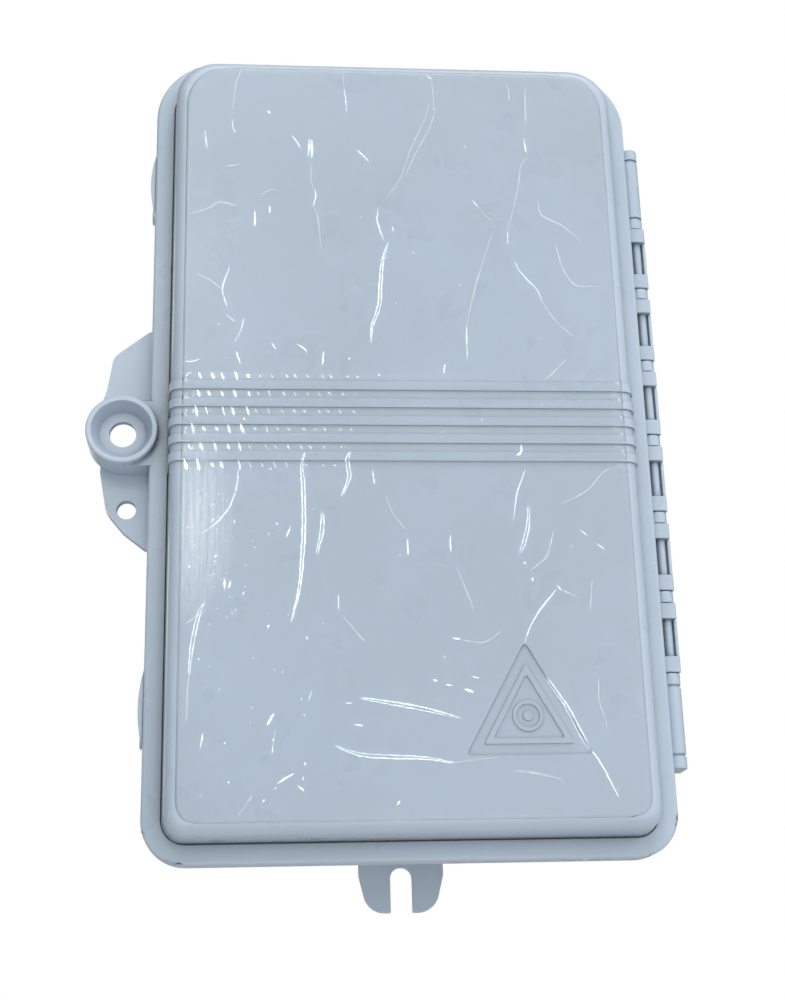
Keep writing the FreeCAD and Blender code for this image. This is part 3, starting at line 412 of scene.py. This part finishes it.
def moulded_together(members, name, slot, body):
    """One mesh for several touching nodes that are one moulding, as a union of their solids."""
    obj = piece_from(name, cleaned_copy(members[0]), slot, body)
    helpers = bpy.data.collections.new(name + "_parts")
    bpy.context.scene.collection.children.link(helpers)
    for node in members[1:]:
        helpers.objects.link(bpy.data.objects.new(name + "_" + node, cleaned_copy(node)))
    union = obj.modifiers.new("union", "BOOLEAN")
    union.operation = "UNION"
    union.operand_type = "COLLECTION"
    union.collection = helpers
    union.solver = "EXACT"
    apply_modifiers(obj)
    for helper in list(helpers.objects):
        bpy.data.objects.remove(helper)
    bpy.data.collections.remove(helpers)
    tidy_faces(obj.data)
    return obj


def tidy_faces(mesh):
    """Joins doubled points and merges the coplanar faces left by a union."""
    work = bmesh.new()
    work.from_mesh(mesh)
    bmesh.ops.remove_doubles(work, verts=work.verts, dist=JOIN_DISTANCE)
    bmesh.ops.dissolve_limit(work, angle_limit=JOIN_ANGLE, verts=work.verts, edges=work.edges)
    work.to_mesh(mesh)
    work.free()


def in_plane(face, first):
    """True if a face lies in the plane of another, either way up."""
    point = first.verts[0].co
    near = all(abs((vert.co - point).dot(first.normal)) < FLAT_DISTANCE for vert in face.verts)
    return near and not FOLDED_COSINE < abs(face.normal.dot(first.normal)) < FLAT_COSINE


def flat_patches(work):
    """Joined faces that lie in one plane, with those that a bevel has folded over."""
    left = dict.fromkeys(work.faces)
    patches = []
    for first in work.faces:
        if first not in left:
            continue
        del left[first]
        patch = [first]
        for face in patch:
            for edge in face.edges:
                for other in edge.link_faces:
                    if other in left and in_plane(other, first):
                        del left[other]
                        patch.append(other)
        patches.append(patch)
    return patches


def inside_outline(triangles, edges, crossings):
    """The triangles inside an outline, given how many outline edges lie on each edge."""
    owners = {}
    for n, corners in enumerate(triangles):
        for pair in zip(corners, corners[1:] + corners[:1]):
            owners.setdefault(frozenset(pair), []).append(n)
    steps = {frozenset(edge): len(sources) for edge, sources in zip(edges, crossings)}
    inside = {}
    queue = []
    for pair, found in owners.items():
        if len(found) == 1 and found[0] not in inside:
            inside[found[0]] = steps.get(pair, 0) % 2
            queue.append(found[0])
    for n in queue:
        corners = triangles[n]
        for pair in zip(corners, corners[1:] + corners[:1]):
            for other in owners[frozenset(pair)]:
                if other not in inside:
                    inside[other] = (inside[n] + steps.get(frozenset(pair), 0)) % 2
                    queue.append(other)
    return [corners for n, corners in enumerate(triangles) if inside.get(n)]


def fill_again(work, faces):
    """Makes the faces of one flat patch anew from their outline."""
    old = dict.fromkeys(faces)
    rim = [edge for face in faces for edge in face.edges if sum(f in old for f in edge.link_faces) == 1]
    normal = sum((face.normal * face.calc_area() for face in faces), Vector()).normalized()
    if not rim or normal.length < ONE_WAY:
        return
    across = normal.orthogonal().normalized()
    up = normal.cross(across)
    corners = list(dict.fromkeys(vert for edge in rim for vert in edge.verts))
    number = {vert: n for n, vert in enumerate(corners)}
    flat = [Vector((vert.co.dot(across), vert.co.dot(up))) / MM for vert in corners]
    lines = [[number[vert] for vert in edge.verts] for edge in rim]
    points, edges, triangles, sources, crossings, _ = delaunay_2d_cdt(flat, lines, [], 0, CDT_EPSILON)
    away = normal * normal.dot(corners[0].co)
    verts = []
    for point, source in zip(points, sources):
        if source:
            verts.append(corners[source[0]])
        else:
            verts.append(work.verts.new((across * point.x + up * point.y) * MM + away))
    bmesh.ops.delete(work, geom=faces, context="FACES_ONLY")
    for outline in inside_outline(triangles, edges, crossings):
        work.faces.new([verts[n] for n in outline])


def drawn_areas(work):
    """The area of each face as its triangles draw it: too large where its outline crosses itself."""
    areas = dict.fromkeys(work.faces, 0.0)
    for first, second, third in work.calc_loop_triangles():
        start = first.vert.co
        areas[first.face] += 0.5 * (second.vert.co - start).cross(third.vert.co - start).length
    return areas


def is_broken(faces, drawn):
    """True if a flat patch has a face that crosses itself or is folded over."""
    largest = max(faces, key=lambda face: face.calc_area())
    folded = any(face.normal.dot(largest.normal) < 0 for face in faces)
    return folded or any(drawn[face] > CROSSED_AREA * face.calc_area() for face in faces)


def mend_flat_faces(mesh):
    """Makes the flat patches that a bevel has broken anew."""
    work = bmesh.new()
    work.from_mesh(mesh)
    drawn = drawn_areas(work)
    for faces in flat_patches(work):
        if is_broken(faces, drawn):
            fill_again(work, faces)
    loose = [edge for edge in work.edges if not edge.link_faces]
    bmesh.ops.delete(work, geom=loose, context="EDGES")
    work.to_mesh(mesh)
    work.free()
    tidy_faces(mesh)


def softened(members, name, slot, body, width):
    """Stands for moulded nodes: the same shape with its sharp edges rounded as a mould leaves them."""
    if len(members) > 1:
        obj = moulded_together(members, name, slot, body)
    else:
        obj = piece_from(name, cleaned_copy(members[0]), slot, body)
    bevel = obj.modifiers.new("edges", "BEVEL")
    bevel.width = width
    bevel.segments = BEVEL_SEGMENTS
    bevel.limit_method = "ANGLE"
    bevel.angle_limit = BEVEL_ANGLE
    bevel.use_clamp_overlap = False
    apply_modifiers(obj)
    keep_in_box(obj)
    mend_flat_faces(obj.data)
    obj.data.shade_smooth()
    obj.data.set_sharp_from_angle(angle=SHARP_ANGLE)
    even = obj.modifiers.new("even_normals", "WEIGHTED_NORMAL")
    even.keep_sharp = True
    apply_modifiers(obj)
    obj.data.materials.clear()
    obj.data.materials.append(MATERIALS[slot])
    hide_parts(*members)
    return obj


# ---------------------------------------------------------------- protective film
# Millimetres throughout: x and z from the cover's middle, depths from the wall.
DOME_FRONT = 63.0
RIB_COUNT = 5
RIB_PITCH = 6.1
RIB_BAND_Z = -1.75
FILM_HALF = (71.5, 128.9)    # half the film's width and height
FILM_CORNER = {"low": 6.5, "high": 14.5}
FILM_THICKNESS = 0.06
FILM_STEP = 1.0              # the size of its mesh
FILM_GAP = 0.12              # how far it stands off the plastic
FILM_RIPPLE = 0.09
FILM_FRONT = 63.74           # the film comes no further forward than this
FILM_BORDER = 2.0            # this near its edge the film follows the cover exactly
FILM_BRIDGE = 2              # a dip fewer grid rows from high plastic than this is bridged
FILM_BRIDGED = 0.6           # how much of such a dip's depth the film spans
FOLD_GAP = 0.22              # how far a fold's foot stands off the plastic
FOLD_BACK = 0.04             # how far its back lies behind its foot
FOLD_TIP = 0.12              # its width at its ends, as a share of its full width
FOLD_WANDER = 0.2            # how much its line strays
DOUBLE_GAP = 1.0             # between the two edges of a double fold
RIB_FOLD_X = -69.5           # the first short fold over a groove
RIB_FOLD_PITCH = 3.9
SPECKS = [                   # how many, where across, where up, how long, how far from upright
    (60, (-70, 66), (-126, 124), (0.3, 0.9), 0.8),
    (45, (-70, -30), (-126, -20), (0.4, 1.3), 0.5),
]
DUST = (90, (-62, 5), (-36, 17), (0.15, 0.35), 0.8)   # the same, but a middle and a spread for where
DUST_EDGE = -70.5
TICKS = 26
TICK_SPAN = (-62, 20)

# Folds of the film on the cover's front, as (x, z) points in millimetres from the cover's middle.
FINE_FOLDS = [
    [(-18, 122), (-17.5, 118.5), (-17, 112)],
    [(-56, 108.5), (-56, 105.5), (-55, 103)],
    [(-65.5, 104), (-65, 100), (-64.5, 96.5)],
    [(-36, 102.5), (-34.5, 100.5), (-33, 97.5)],
    [(-14, 97.5), (-12, 95.5), (-10, 93)],
    [(-28.5, 82), (-28, 79.5), (-29, 75.5)],
    [(-43.5, 75.5), (-43.5, 72.5)],
    [(-58, 35.5), (-56.5, 34), (-54.5, 32.5)],
    [(-57, 53.5), (-57, 51.5), (-59, 44.5), (-57.5, 38)],
    [(-52, 34), (-53, 29.5), (-55, 25.5)],
    [(-54.5, 22.5), (-53, 17.5)],
    [(-43, 25.5), (-41.5, 23)],
    [(-35, 25), (-32, 23), (-31.5, 21.5)],
    [(-26, 22.5), (-26.5, 17.5)],
    [(-7, 75), (-7.5, 70.5), (-5.5, 63)],
    [(-2.5, 68.5), (-2, 66)],
    [(-71, 18.5), (-68, 18.5), (-66, 19.5)],
    [(10.5, 127.5), (13, 126)],
    [(44, 103.5), (44.5, 97.5)],
    [(36.5, 67.5), (36.5, 62.5)],
    [(38.5, 56), (39.5, 53), (42.5, 49), (45.5, 45.5), (47, 41)],
    [(25, 79), (27, 76)],
    [(21.5, 33), (21, 29.5), (21, 20)],
    [(13.5, 18.5), (13, 15)],
    [(-53.5, -18), (-54, -24.5), (-56.5, -31.5), (-60.5, -36.5), (-64.5, -39.5)],
    [(-37, -37), (-38.5, -41)],
    [(-11, -18.5), (-10.5, -23.5)],
    [(-0.5, -41.5), (-0.5, -47)],
    [(-22.5, -59.5), (-22.5, -64.5)],
    [(-31, -89.5), (-32, -93)],
    [(-21, -93.5), (-18.5, -93.5)],
    [(-42.8, -106), (-43, -108.5)],
    [(-63.5, -102), (-64.5, -107)],
    [(38, -18.5), (36, -23.5), (34.5, -28.5), (33.5, -35.5)],
    [(13, -40), (13, -46.5)],
    [(54.5, -38.5), (57, -40.5)],
    [(59.5, -43), (62, -45)],
    [(46, -56.5), (47.5, -58.5)],
    [(46, -58), (40.5, -64.5), (37, -70), (35, -75)],
    [(53.5, -108.5), (56.5, -113), (59, -118.5), (61, -123)],
    [(12.5, -73.5), (15, -74)],
    [(18, -85.6), (20.5, -86.2)],
]
DOUBLE_FOLDS = [
    [(-4, 62.5), (-6, 55.5), (-7, 46.5), (-7.5, 39.5), (-10, 31.5), (-10.5, 25.5)],
    [(-32.5, -13), (-33.5, -17), (-33, -24.5), (-33, -38), (-33.5, -47), (-34.5, -57), (-37, -68)],
    [(-18, -12.5), (-19, -15.5), (-18.5, -21), (-21, -27.5)],
    [(-27.2, -32.5), (-27.2, -38), (-29, -46.5)],
    [(-63.5, -62), (-65, -64.5), (-66.5, -71), (-67.5, -78), (-68, -84.5)],
    [(-16.5, -92), (-10.5, -93), (-5, -94), (2.5, -95.5), (8.5, -97), (14, -98.5)],
    [(-24, -106.5), (-19, -108.5), (-14.5, -109.5), (-7, -110), (3, -110.5), (12, -112)],
    [(38.5, -30.5), (38, -37), (36, -44), (34.5, -46.5)],
    [(41, -86), (47, -95.5), (51, -104), (53.5, -108.5)],
]
BROAD_FOLDS = [
    [(-30, 101.5), (-30.5, 94.5)],
    [(-29.2, 101), (-29.3, 94)],
    [(-48.5, 74), (-48.5, 67.5)],
    [(-44.5, 112), (-43, 111)],
    [(-57.5, -54.5), (-57.5, -58)],
    [(-55.5, -55), (-56.5, -57.5)],
    [(-18.5, -100), (-15.5, -100.5)],
    [(-42.5, -96.5), (-44.5, -100)],
    [(-36.5, -114.5), (-41.5, -117.5)],
    [(-35.5, -118), (-33.5, -120)],
    [(-5, -123), (-6, -124.5)],
    [(36, -49), (36.5, -49.8)],
    [(38.5, -54), (38.5, -55.5)],
    [(6, -86.5), (7.5, -87)],
    [(10, -88), (12, -88.5)],
    [(15.5, -89.5), (18.5, -90.5)],
    [(37.2, -9.6), (37, -12.5), (35.5, -13.5)],
]
SOFT_FOLDS = [
    [(-29.5, 92), (-29.5, 85), (-28.5, 82)],
    [(-29, 75.5), (-27.5, 71.5), (-26.5, 60)],
    [(-18, 127), (-18, 122)],
    [(-52.5, 130), (-55, 122), (-56, 112)],
    [(12.5, 126), (13, 119.5), (13, 111.5)],
    [(12, 118), (10, 110.5), (5, 99), (0.5, 86.5), (-5, 78)],
    [(14, 116), (11.5, 107), (6.5, 97), (2, 87)],
    [(38.5, 125.5), (39.5, 122.5), (39.5, 117.5)],
    [(45.5, 124), (44.8, 108)],
    [(44.5, 97.5), (45.5, 96), (42.5, 93), (41, 84), (38.5, 74.5), (36.5, 67.5)],
    [(47, 41), (50.5, 35), (56.5, 28.5)],
    [(27, 76), (31.5, 70.5)],
    [(31.5, 66.5), (28.5, 58.5), (25.5, 49), (24.5, 45.5), (22.5, 38), (21.5, 33)],
    [(47.5, 79.5), (48.5, 73.5), (55.5, 69.5), (61.5, 63.5)],
    [(52.5, 63.5), (54.5, 54), (58.5, 47.5), (66.5, 47)],
    [(54, 20.5), (49.5, 16), (46, 13)],
    [(-59, 90), (-56, 90.5), (-53.5, 91)],
    [(-69.5, 72), (-64, 74), (-60, 76.5), (-54, 75)],
    [(-47, 79), (-43, 81.5), (-39, 81)],
    [(-68, 50), (-63, 47.5), (-59, 44)],
    [(-7, -27), (-5, -33), (-1, -38.5)],
    [(-69.5, -68.5), (-63, -64.5)],
    [(-68, -84.5), (-68.5, -91.5), (-68.5, -99)],
    [(-21, -66.5), (-17, -71.5), (-14.5, -74.5)],
    [(-42, -101.5), (-42.8, -106)],
    [(-49, -121), (-53, -127)],
    [(12, -112), (19.5, -111), (25, -110.5)],
    [(14.5, -50.5), (18, -60), (19.5, -65)],
    [(47.5, -58.5), (52.5, -60.5)],
    [(15, -74), (20.5, -75), (23.5, -74.5), (28.5, -71)],
    [(57.5, -86), (57, -93), (58.5, -98.5), (59, -102)],
    [(29.5, -114.5), (36.5, -115.5), (44.5, -117.5)],
    [(67, -17.5), (63, -19.5), (57.5, -25.5), (49, -30)],
    [(46, -39), (43.5, -47), (38, -52)],
    [(57.5, -54.5), (56, -65.5)],
]


def cover_surface():
    """The cover's own faces, to drop points on."""
    mesh = nodes["front_cover"].data
    return BVHTree.FromPolygons([v.co for v in mesh.vertices], [p.vertices for p in mesh.polygons])


def front_depth(tree, x, z):
    """How far in front of the wall the cover is at (x, z), in millimetres."""
    hit = tree.ray_cast(Vector((x * MM, -0.2, z * MM)), Vector((0, 1, 0)))
    return -hit[0].y / MM if hit[0] is not None else 40.0


def film_half_width(z):
    """Half the film's width at a height, with its rounded corners, in millimetres."""
    half_w, half_h = FILM_HALF
    radius = FILM_CORNER["high"] if z > 0 else FILM_CORNER["low"]
    into_corner = max(0.0, abs(z) - (half_h - radius))
    return half_w - radius + math.sqrt(max(0.0, radius ** 2 - into_corner ** 2))


def film_places():
    """The film's grid points (x, z) row by row, each row as wide as the film is there."""
    columns = int(2 * FILM_HALF[0] / FILM_STEP) + 1
    rows = int(2 * FILM_HALF[1] / FILM_STEP) + 1
    places = []
    for j in range(rows):
        z = -FILM_HALF[1] + j * 2 * FILM_HALF[1] / (rows - 1)
        half = film_half_width(z)
        places.append([(-half + i * 2 * half / (columns - 1), z) for i in range(columns)])
    return places


def film_depth(bare, places, i, j):
    """The film's depth at one grid point: it lies on the cover, bridges its grooves and ripples a little."""
    x, z = places[j][i]
    depth = bare[j][i]
    if abs(x) < FILM_HALF[0] - FILM_BORDER and abs(z) < FILM_HALF[1] - FILM_BORDER:
        near_rows = bare[max(0, j - FILM_BRIDGE):j + FILM_BRIDGE + 1]
        highest = max(row[i] for row in near_rows)
        depth = max(depth + FILM_BRIDGED * (highest - depth), DOME_FRONT)
    ripple = noise.noise(Vector((x * 0.05, z * 0.028, 3.7)))
    ripple += 0.5 * noise.noise(Vector((x * 0.16, z * 0.07, 9.1)))
    return min(depth + FILM_GAP + FILM_RIPPLE * (ripple + 1.0), FILM_FRONT)


def film_sheet(tree):
    """The clear film as a thin closed sheet."""
    places = film_places()
    bare = [[front_depth(tree, x, z) for x, z in row] for row in places]
    work = bmesh.new()
    grid = []
    for j, row in enumerate(places):
        line = []
        for i, (x, z) in enumerate(row):
            line.append(work.verts.new((x * MM, -film_depth(bare, places, i, j) * MM, z * MM)))
        grid.append(line)
    for low, high in zip(grid, grid[1:]):
        for i in range(len(low) - 1):
            work.faces.new((low[i], low[i + 1], high[i + 1], high[i]))
    mesh = bpy.data.meshes.new("film_sheet")
    work.to_mesh(mesh)
    work.free()
    obj = piece_from("film_sheet", mesh, "clear_film", "cover")
    skin = obj.modifiers.new("thickness", "SOLIDIFY")
    skin.thickness = FILM_THICKNESS * MM
    skin.offset = 0
    apply_modifiers(obj)
    obj.data.shade_smooth()
    return obj


def smooth_path(points, step=0.8):
    """Points along a smooth curve through the given ones (a Catmull-Rom curve)."""
    knots = [Vector(p) for p in points]
    knots = [2 * knots[0] - knots[1]] + knots + [2 * knots[-1] - knots[-2]]
    path = []
    for k in range(1, len(knots) - 2):
        a, b, c, d = knots[k - 1:k + 3]
        count = max(2, int((c - b).length / step))
        for n in range(count):
            t = n / count
            path.append(0.5 * (2 * b + (c - a) * t + (2 * a - 5 * b + 4 * c - d) * t * t
                               + (3 * b - a - 3 * c + d) * t ** 3))
    path.append(knots[-2])
    return path


def crease_ridge(work, tree, points, width, height, chance):
    """One fold of the film: a low ridge that narrows to nothing at both ends."""
    path = smooth_path(points)
    last = len(path) - 1
    rows = []
    for n, point in enumerate(path):
        ahead = path[min(n + 1, last)] - path[max(n - 1, 0)]
        side = Vector((-ahead.y, ahead.x)).normalized()
        swell = abs(math.sin(math.pi * n / last)) ** 0.5
        half = 0.5 * width * (FOLD_TIP + (1 - FOLD_TIP) * swell) * (0.6 + 0.8 * chance.random())
        centre = point + side * (chance.random() - 0.5) * FOLD_WANDER
        foot = front_depth(tree, centre.x, centre.y) + FOLD_GAP
        ring = [
            (centre - side * half, foot),
            (centre, foot + height * (0.2 + 0.8 * swell)),
            (centre + side * half, foot),
            (centre, foot - FOLD_BACK),
        ]
        rows.append([work.verts.new((p.x * MM, -depth * MM, p.y * MM)) for p, depth in ring])
    for first, second in zip(rows, rows[1:]):
        for k in range(4):
            n = (k + 1) % 4
            work.faces.new((first[k], first[n], second[n], second[k]))
    work.faces.new(rows[0][::-1])
    work.faces.new(rows[-1])


def folds(name, tree, lines, width, height, material, seed):
    """All folds of one kind as one piece."""
    chance = random.Random(seed)
    work = bmesh.new()
    for points in lines:
        size = 0.7 + 0.6 * chance.random()
        crease_ridge(work, tree, points, width * size, height * size, chance)
    bmesh.ops.recalc_face_normals(work, faces=work.faces)
    mesh = bpy.data.meshes.new(name)
    work.to_mesh(mesh)
    work.free()
    obj = piece_from(name, mesh, "clear_film", "cover")
    obj.data.materials.clear()
    obj.data.materials.append(material)
    keep_in_box(obj)
    return obj


def both_edges(lines):
    """Each line twice, side by side, for a fold whose two edges both show."""
    pairs = []
    for points in lines:
        ends = Vector(points[-1]) - Vector(points[0])
        side = Vector((-ends.y, ends.x)).normalized() * (DOUBLE_GAP / 2)
        apart = [math.sin(math.pi * (k + 0.5) / len(points)) for k in range(len(points))]
        for turn in (-1, 1):
            pairs.append([(x + turn * side.x * far, z + turn * side.y * far)
                          for (x, z), far in zip(points, apart)])
    return pairs


def fleck(chance, x, z, lengths, spread):
    """A short mark at (x, z), more or less upright."""
    length = chance.uniform(*lengths)
    turn = chance.gauss(math.pi / 2, spread)
    return [(x, z), (x + length * math.cos(turn), z + length * math.sin(turn))]


def flecks():
    """Specks of lifted film all over, and a dusting of dots by the left edge."""
    chance = random.Random(11)
    marks = []
    for count, across, upward, lengths, spread in SPECKS:
        for _ in range(count):
            x, z = chance.uniform(*across), chance.uniform(*upward)
            marks.append(fleck(chance, x, z, lengths, spread))
    count, across, upward, lengths, spread = DUST
    for _ in range(count):
        x, z = chance.gauss(*across), chance.gauss(*upward)
        if x > DUST_EDGE:
            marks.append(fleck(chance, x, z, lengths, spread))
    return marks


def rib_folds(steps, seed):
    """Short leaning folds where the film spans the grooves of the rib band, smaller to the right."""
    chance = random.Random(seed)
    marks = []
    for groove in range(RIB_COUNT + 1):
        z = RIB_BAND_Z + (groove - RIB_COUNT / 2) * RIB_PITCH
        for step in steps:
            x = RIB_FOLD_X + step * RIB_FOLD_PITCH + chance.gauss(0, 0.5) + groove * 0.7
            half = chance.uniform(0.7, 1.9) * (1.1 - 0.06 * step)
            marks.append([(x - 0.4, z + half), (x + 0.1, z), (x + 0.5, z - half)])
    return marks


def edge_ticks():
    """Small puckers along the film's upper edge."""
    chance = random.Random(8)
    top = FILM_HALF[1] - 1.0
    marks = []
    for _ in range(TICKS):
        x = chance.uniform(*TICK_SPAN)
        marks.append([(x, top), (x + chance.uniform(-1.5, 1.5), top - chance.uniform(0.6, 3.0))])
    return marks


def protective_film():
    """The film and its folds, all on the cover."""
    tree = cover_surface()
    sheet = film_sheet(tree)
    # the folds' glow is a painted glint, strongest on the bright folds and fainter on the others
    bright = crease_film("film_fold_bright_glint", 0.95, 0.6)
    middle = crease_film("film_fold_middle_glint", 0.5, 0.3)
    soft = crease_film("film_fold_soft_glint", 0.2, 0.35)
    kinds = [   # name, lines, width, height, material, seed
        ("film_fine_folds", FINE_FOLDS, 0.3, 0.16, bright, 1),
        ("film_double_folds", both_edges(DOUBLE_FOLDS), 0.26, 0.14, bright, 2),
        ("film_broad_folds", BROAD_FOLDS, 0.55, 0.2, bright, 3),
        ("film_soft_folds", SOFT_FOLDS, 0.6, 0.08, soft, 4),
        ("film_flecks", flecks(), 0.32, 0.10, bright, 5),
        ("film_rib_folds_left", rib_folds(range(5), 5), 0.75, 0.10, bright, 6),
        ("film_rib_folds_right", rib_folds(range(5, 14), 15), 0.6, 0.08, middle, 16),
        ("film_edge_ticks", edge_ticks(), 0.3, 0.06, soft, 7),
    ]
    pieces = [folds(name, tree, *settings) for name, *settings in kinds]
    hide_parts("protective_film")
    return sheet


# ---------------------------------------------------------------- the object's pieces
BASE_MOULDING = ["base_back_plate", "insert_bosses", "cable_rests", "base_walls", "cable_entry_wall",
                 "base_rim", "lock_ear", "wall_tab_bottom", "wall_tab_top", "hinge_column"]
COVER_MOULDING = ["front_cover", "lock_boss", "cover_hinge_segments"]
SOFT_EDGES = [               # nodes, name, slot, body, edge rounding in metres
    (COVER_MOULDING, "cover_shell", "shell_abs", "cover", 0.00022),
    (BASE_MOULDING, "base_body", "shell_abs", "base", 0.00025),
    (["rim_gasket"], "gasket_loop", "seal_rubber", "base", 0.0005),
    (["cable_grommet_left"], "grommet_left", "grommet_rubber", "base", 0.0004),
    (["cable_grommet_right"], "grommet_right", "grommet_rubber", "base", 0.0004),
    (["drop_cable_seal"], "drop_seal_strip", "grommet_rubber", "base", 0.0003),
    (["cable_saddle_left"], "saddle_left", "clamp_plastic", "base", 0.0003),
    (["cable_saddle_right"], "saddle_right", "clamp_plastic", "base", 0.0003),
    (["drop_cable_clamp_bar"], "drop_clamp", "clamp_plastic", "base", 0.0003),
    (["strength_member_clamps"], "member_clamps", "zinc_steel", "base", 0.0002),
    (["adapter_bracket"], "bracket_plate", "bracket_steel", "base", 0.0002),
    (["splice_tray"], "tray_body", "tray_plastic", "base", 0.00022),
    (["splice_tray_lid"], "tray_lid", "clear_lid", "base", 0.0002),
    (["splice_sleeve_holder"], "sleeve_holder", "holder_rubber", "base", 0.00015),
    (["fibre_storage_guides"], "storage_guides", "clamp_plastic", "base", 0.0003),
]
SCREW_NODES = ["cable_saddle_screws", "drop_clamp_screws", "strength_member_screws",
               "adapter_bracket_screws", "splice_tray_screws"]
ADAPTERS = 8

for members, name, slot, body, width in SOFT_EDGES:
    softened(members, name, slot, body, width)
for index in range(1, ADAPTERS + 1):
    softened(["sc_adapter_%d" % index], "adapter_%d" % index, "adapter_blue", "base", 0.0002)
    softened(["dust_cap_%d" % index], "cap_%d" % index, "cap_plastic", "cap_%d" % index, 0.0003)
for node in SCREW_NODES:
    softened([node], node.replace("_screws", "_bolts"), "zinc_steel", "base", 0.00008)
softened(["brass_inserts"], "insert_rings", "insert_brass", "base", 0.00012)
protective_film()


# ---------------------------------------------------------------- camera, floor and light
def photo_camera():
    """The photograph's camera."""
    data = bpy.data.cameras.new("photo_camera")
    data.sensor_width = CAMERA_SENSOR
    data.lens = CAMERA_LENS
    data.clip_start = CAMERA_CLIP
    camera = bpy.data.objects.new("photo_camera", data)
    bpy.context.scene.collection.objects.link(camera)
    ahead = Vector(CAMERA_AHEAD).normalized()
    right = Vector(CAMERA_RIGHT)
    right = (right - ahead * right.dot(ahead)).normalized()
    up = right.cross(ahead)
    turn = Matrix((right, up, -ahead)).transposed()
    camera.matrix_world = Matrix.Translation(CAMERA_PLACE) @ turn.to_4x4()
    bpy.context.scene.camera = camera


def softbox(name, position, size, power):
    """A rectangular lamp pointed at the box."""
    data = bpy.data.lights.new(name, "AREA")
    data.shape = "RECTANGLE"
    data.size, data.size_y = size
    data.energy = power
    lamp = bpy.data.objects.new(name, data)
    bpy.context.scene.collection.objects.link(lamp)
    lamp.location = position
    lamp.rotation_euler = (Vector(LAMP_TARGET) - Vector(position)).to_track_quat("-Z", "Y").to_euler()
    return lamp


def floor():
    """A plain pale floor."""
    mesh = bpy.data.meshes.new("floor")
    signs = [(-1, -1), (1, -1), (1, 1), (-1, 1)]
    corners = [(x * FLOOR_REACH, y * FLOOR_REACH, FLOOR_LEVEL) for x, y in signs]
    mesh.from_pydata(corners, [], [(0, 1, 2, 3)])
    obj = bpy.data.objects.new("floor", mesh)
    bpy.context.scene.collection.objects.link(obj)
    material, tree, output = new_material("floor_paint")
    shader = add(tree, "ShaderNodeBsdfPrincipled")
    mottle = noise_value(tree, scale=3.0, detail=4.0)
    colour = colour_mix(tree, mottle, (0.84, 0.845, 0.85), (0.88, 0.88, 0.88))
    tree.links.new(colour, shader.inputs["Base Color"])
    shader.inputs["Roughness"].default_value = 0.7
    tree.links.new(shader.outputs["BSDF"], output.inputs["Surface"])
    mesh.materials.append(material)


def white_world():
    """White seen directly; as a light dimmer, and brightest towards one side."""
    world = bpy.data.worlds.new("studio")
    bpy.context.scene.world = world
    world.use_nodes = True
    tree = world.node_tree
    tree.nodes.clear()
    output = tree.nodes.new("ShaderNodeOutputWorld")
    seen = add(tree, "ShaderNodeBackground", Color=(1, 1, 1, 1), Strength=1.0)
    light = add(tree, "ShaderNodeBackground", Color=(0.95, 0.97, 1.0, 1))
    towards = add(tree, "ShaderNodeVectorMath", operation="DOT_PRODUCT")
    tree.links.new(tree.nodes.new("ShaderNodeTexCoord").outputs["Generated"], towards.inputs[0])
    towards.inputs[1].default_value = Vector(BRIGHT_SKY).normalized()
    glow = between(tree, towards.outputs["Value"], *SKY_LIGHT, *SKY_SPREAD)
    tree.links.new(glow, light.inputs["Strength"])
    path = tree.nodes.new("ShaderNodeLightPath")
    mix = shader_mix(tree, path.outputs["Is Camera Ray"], light, seen)
    tree.links.new(mix.outputs[0], output.inputs["Surface"])


photo_camera()
floor()
white_world()
lamps = {entry[0]: softbox(*entry) for entry in LAMPS}
lamps["behind"].visible_camera = False   # it would stand in the picture in some views
bpy.context.scene.view_settings.view_transform = "Standard"
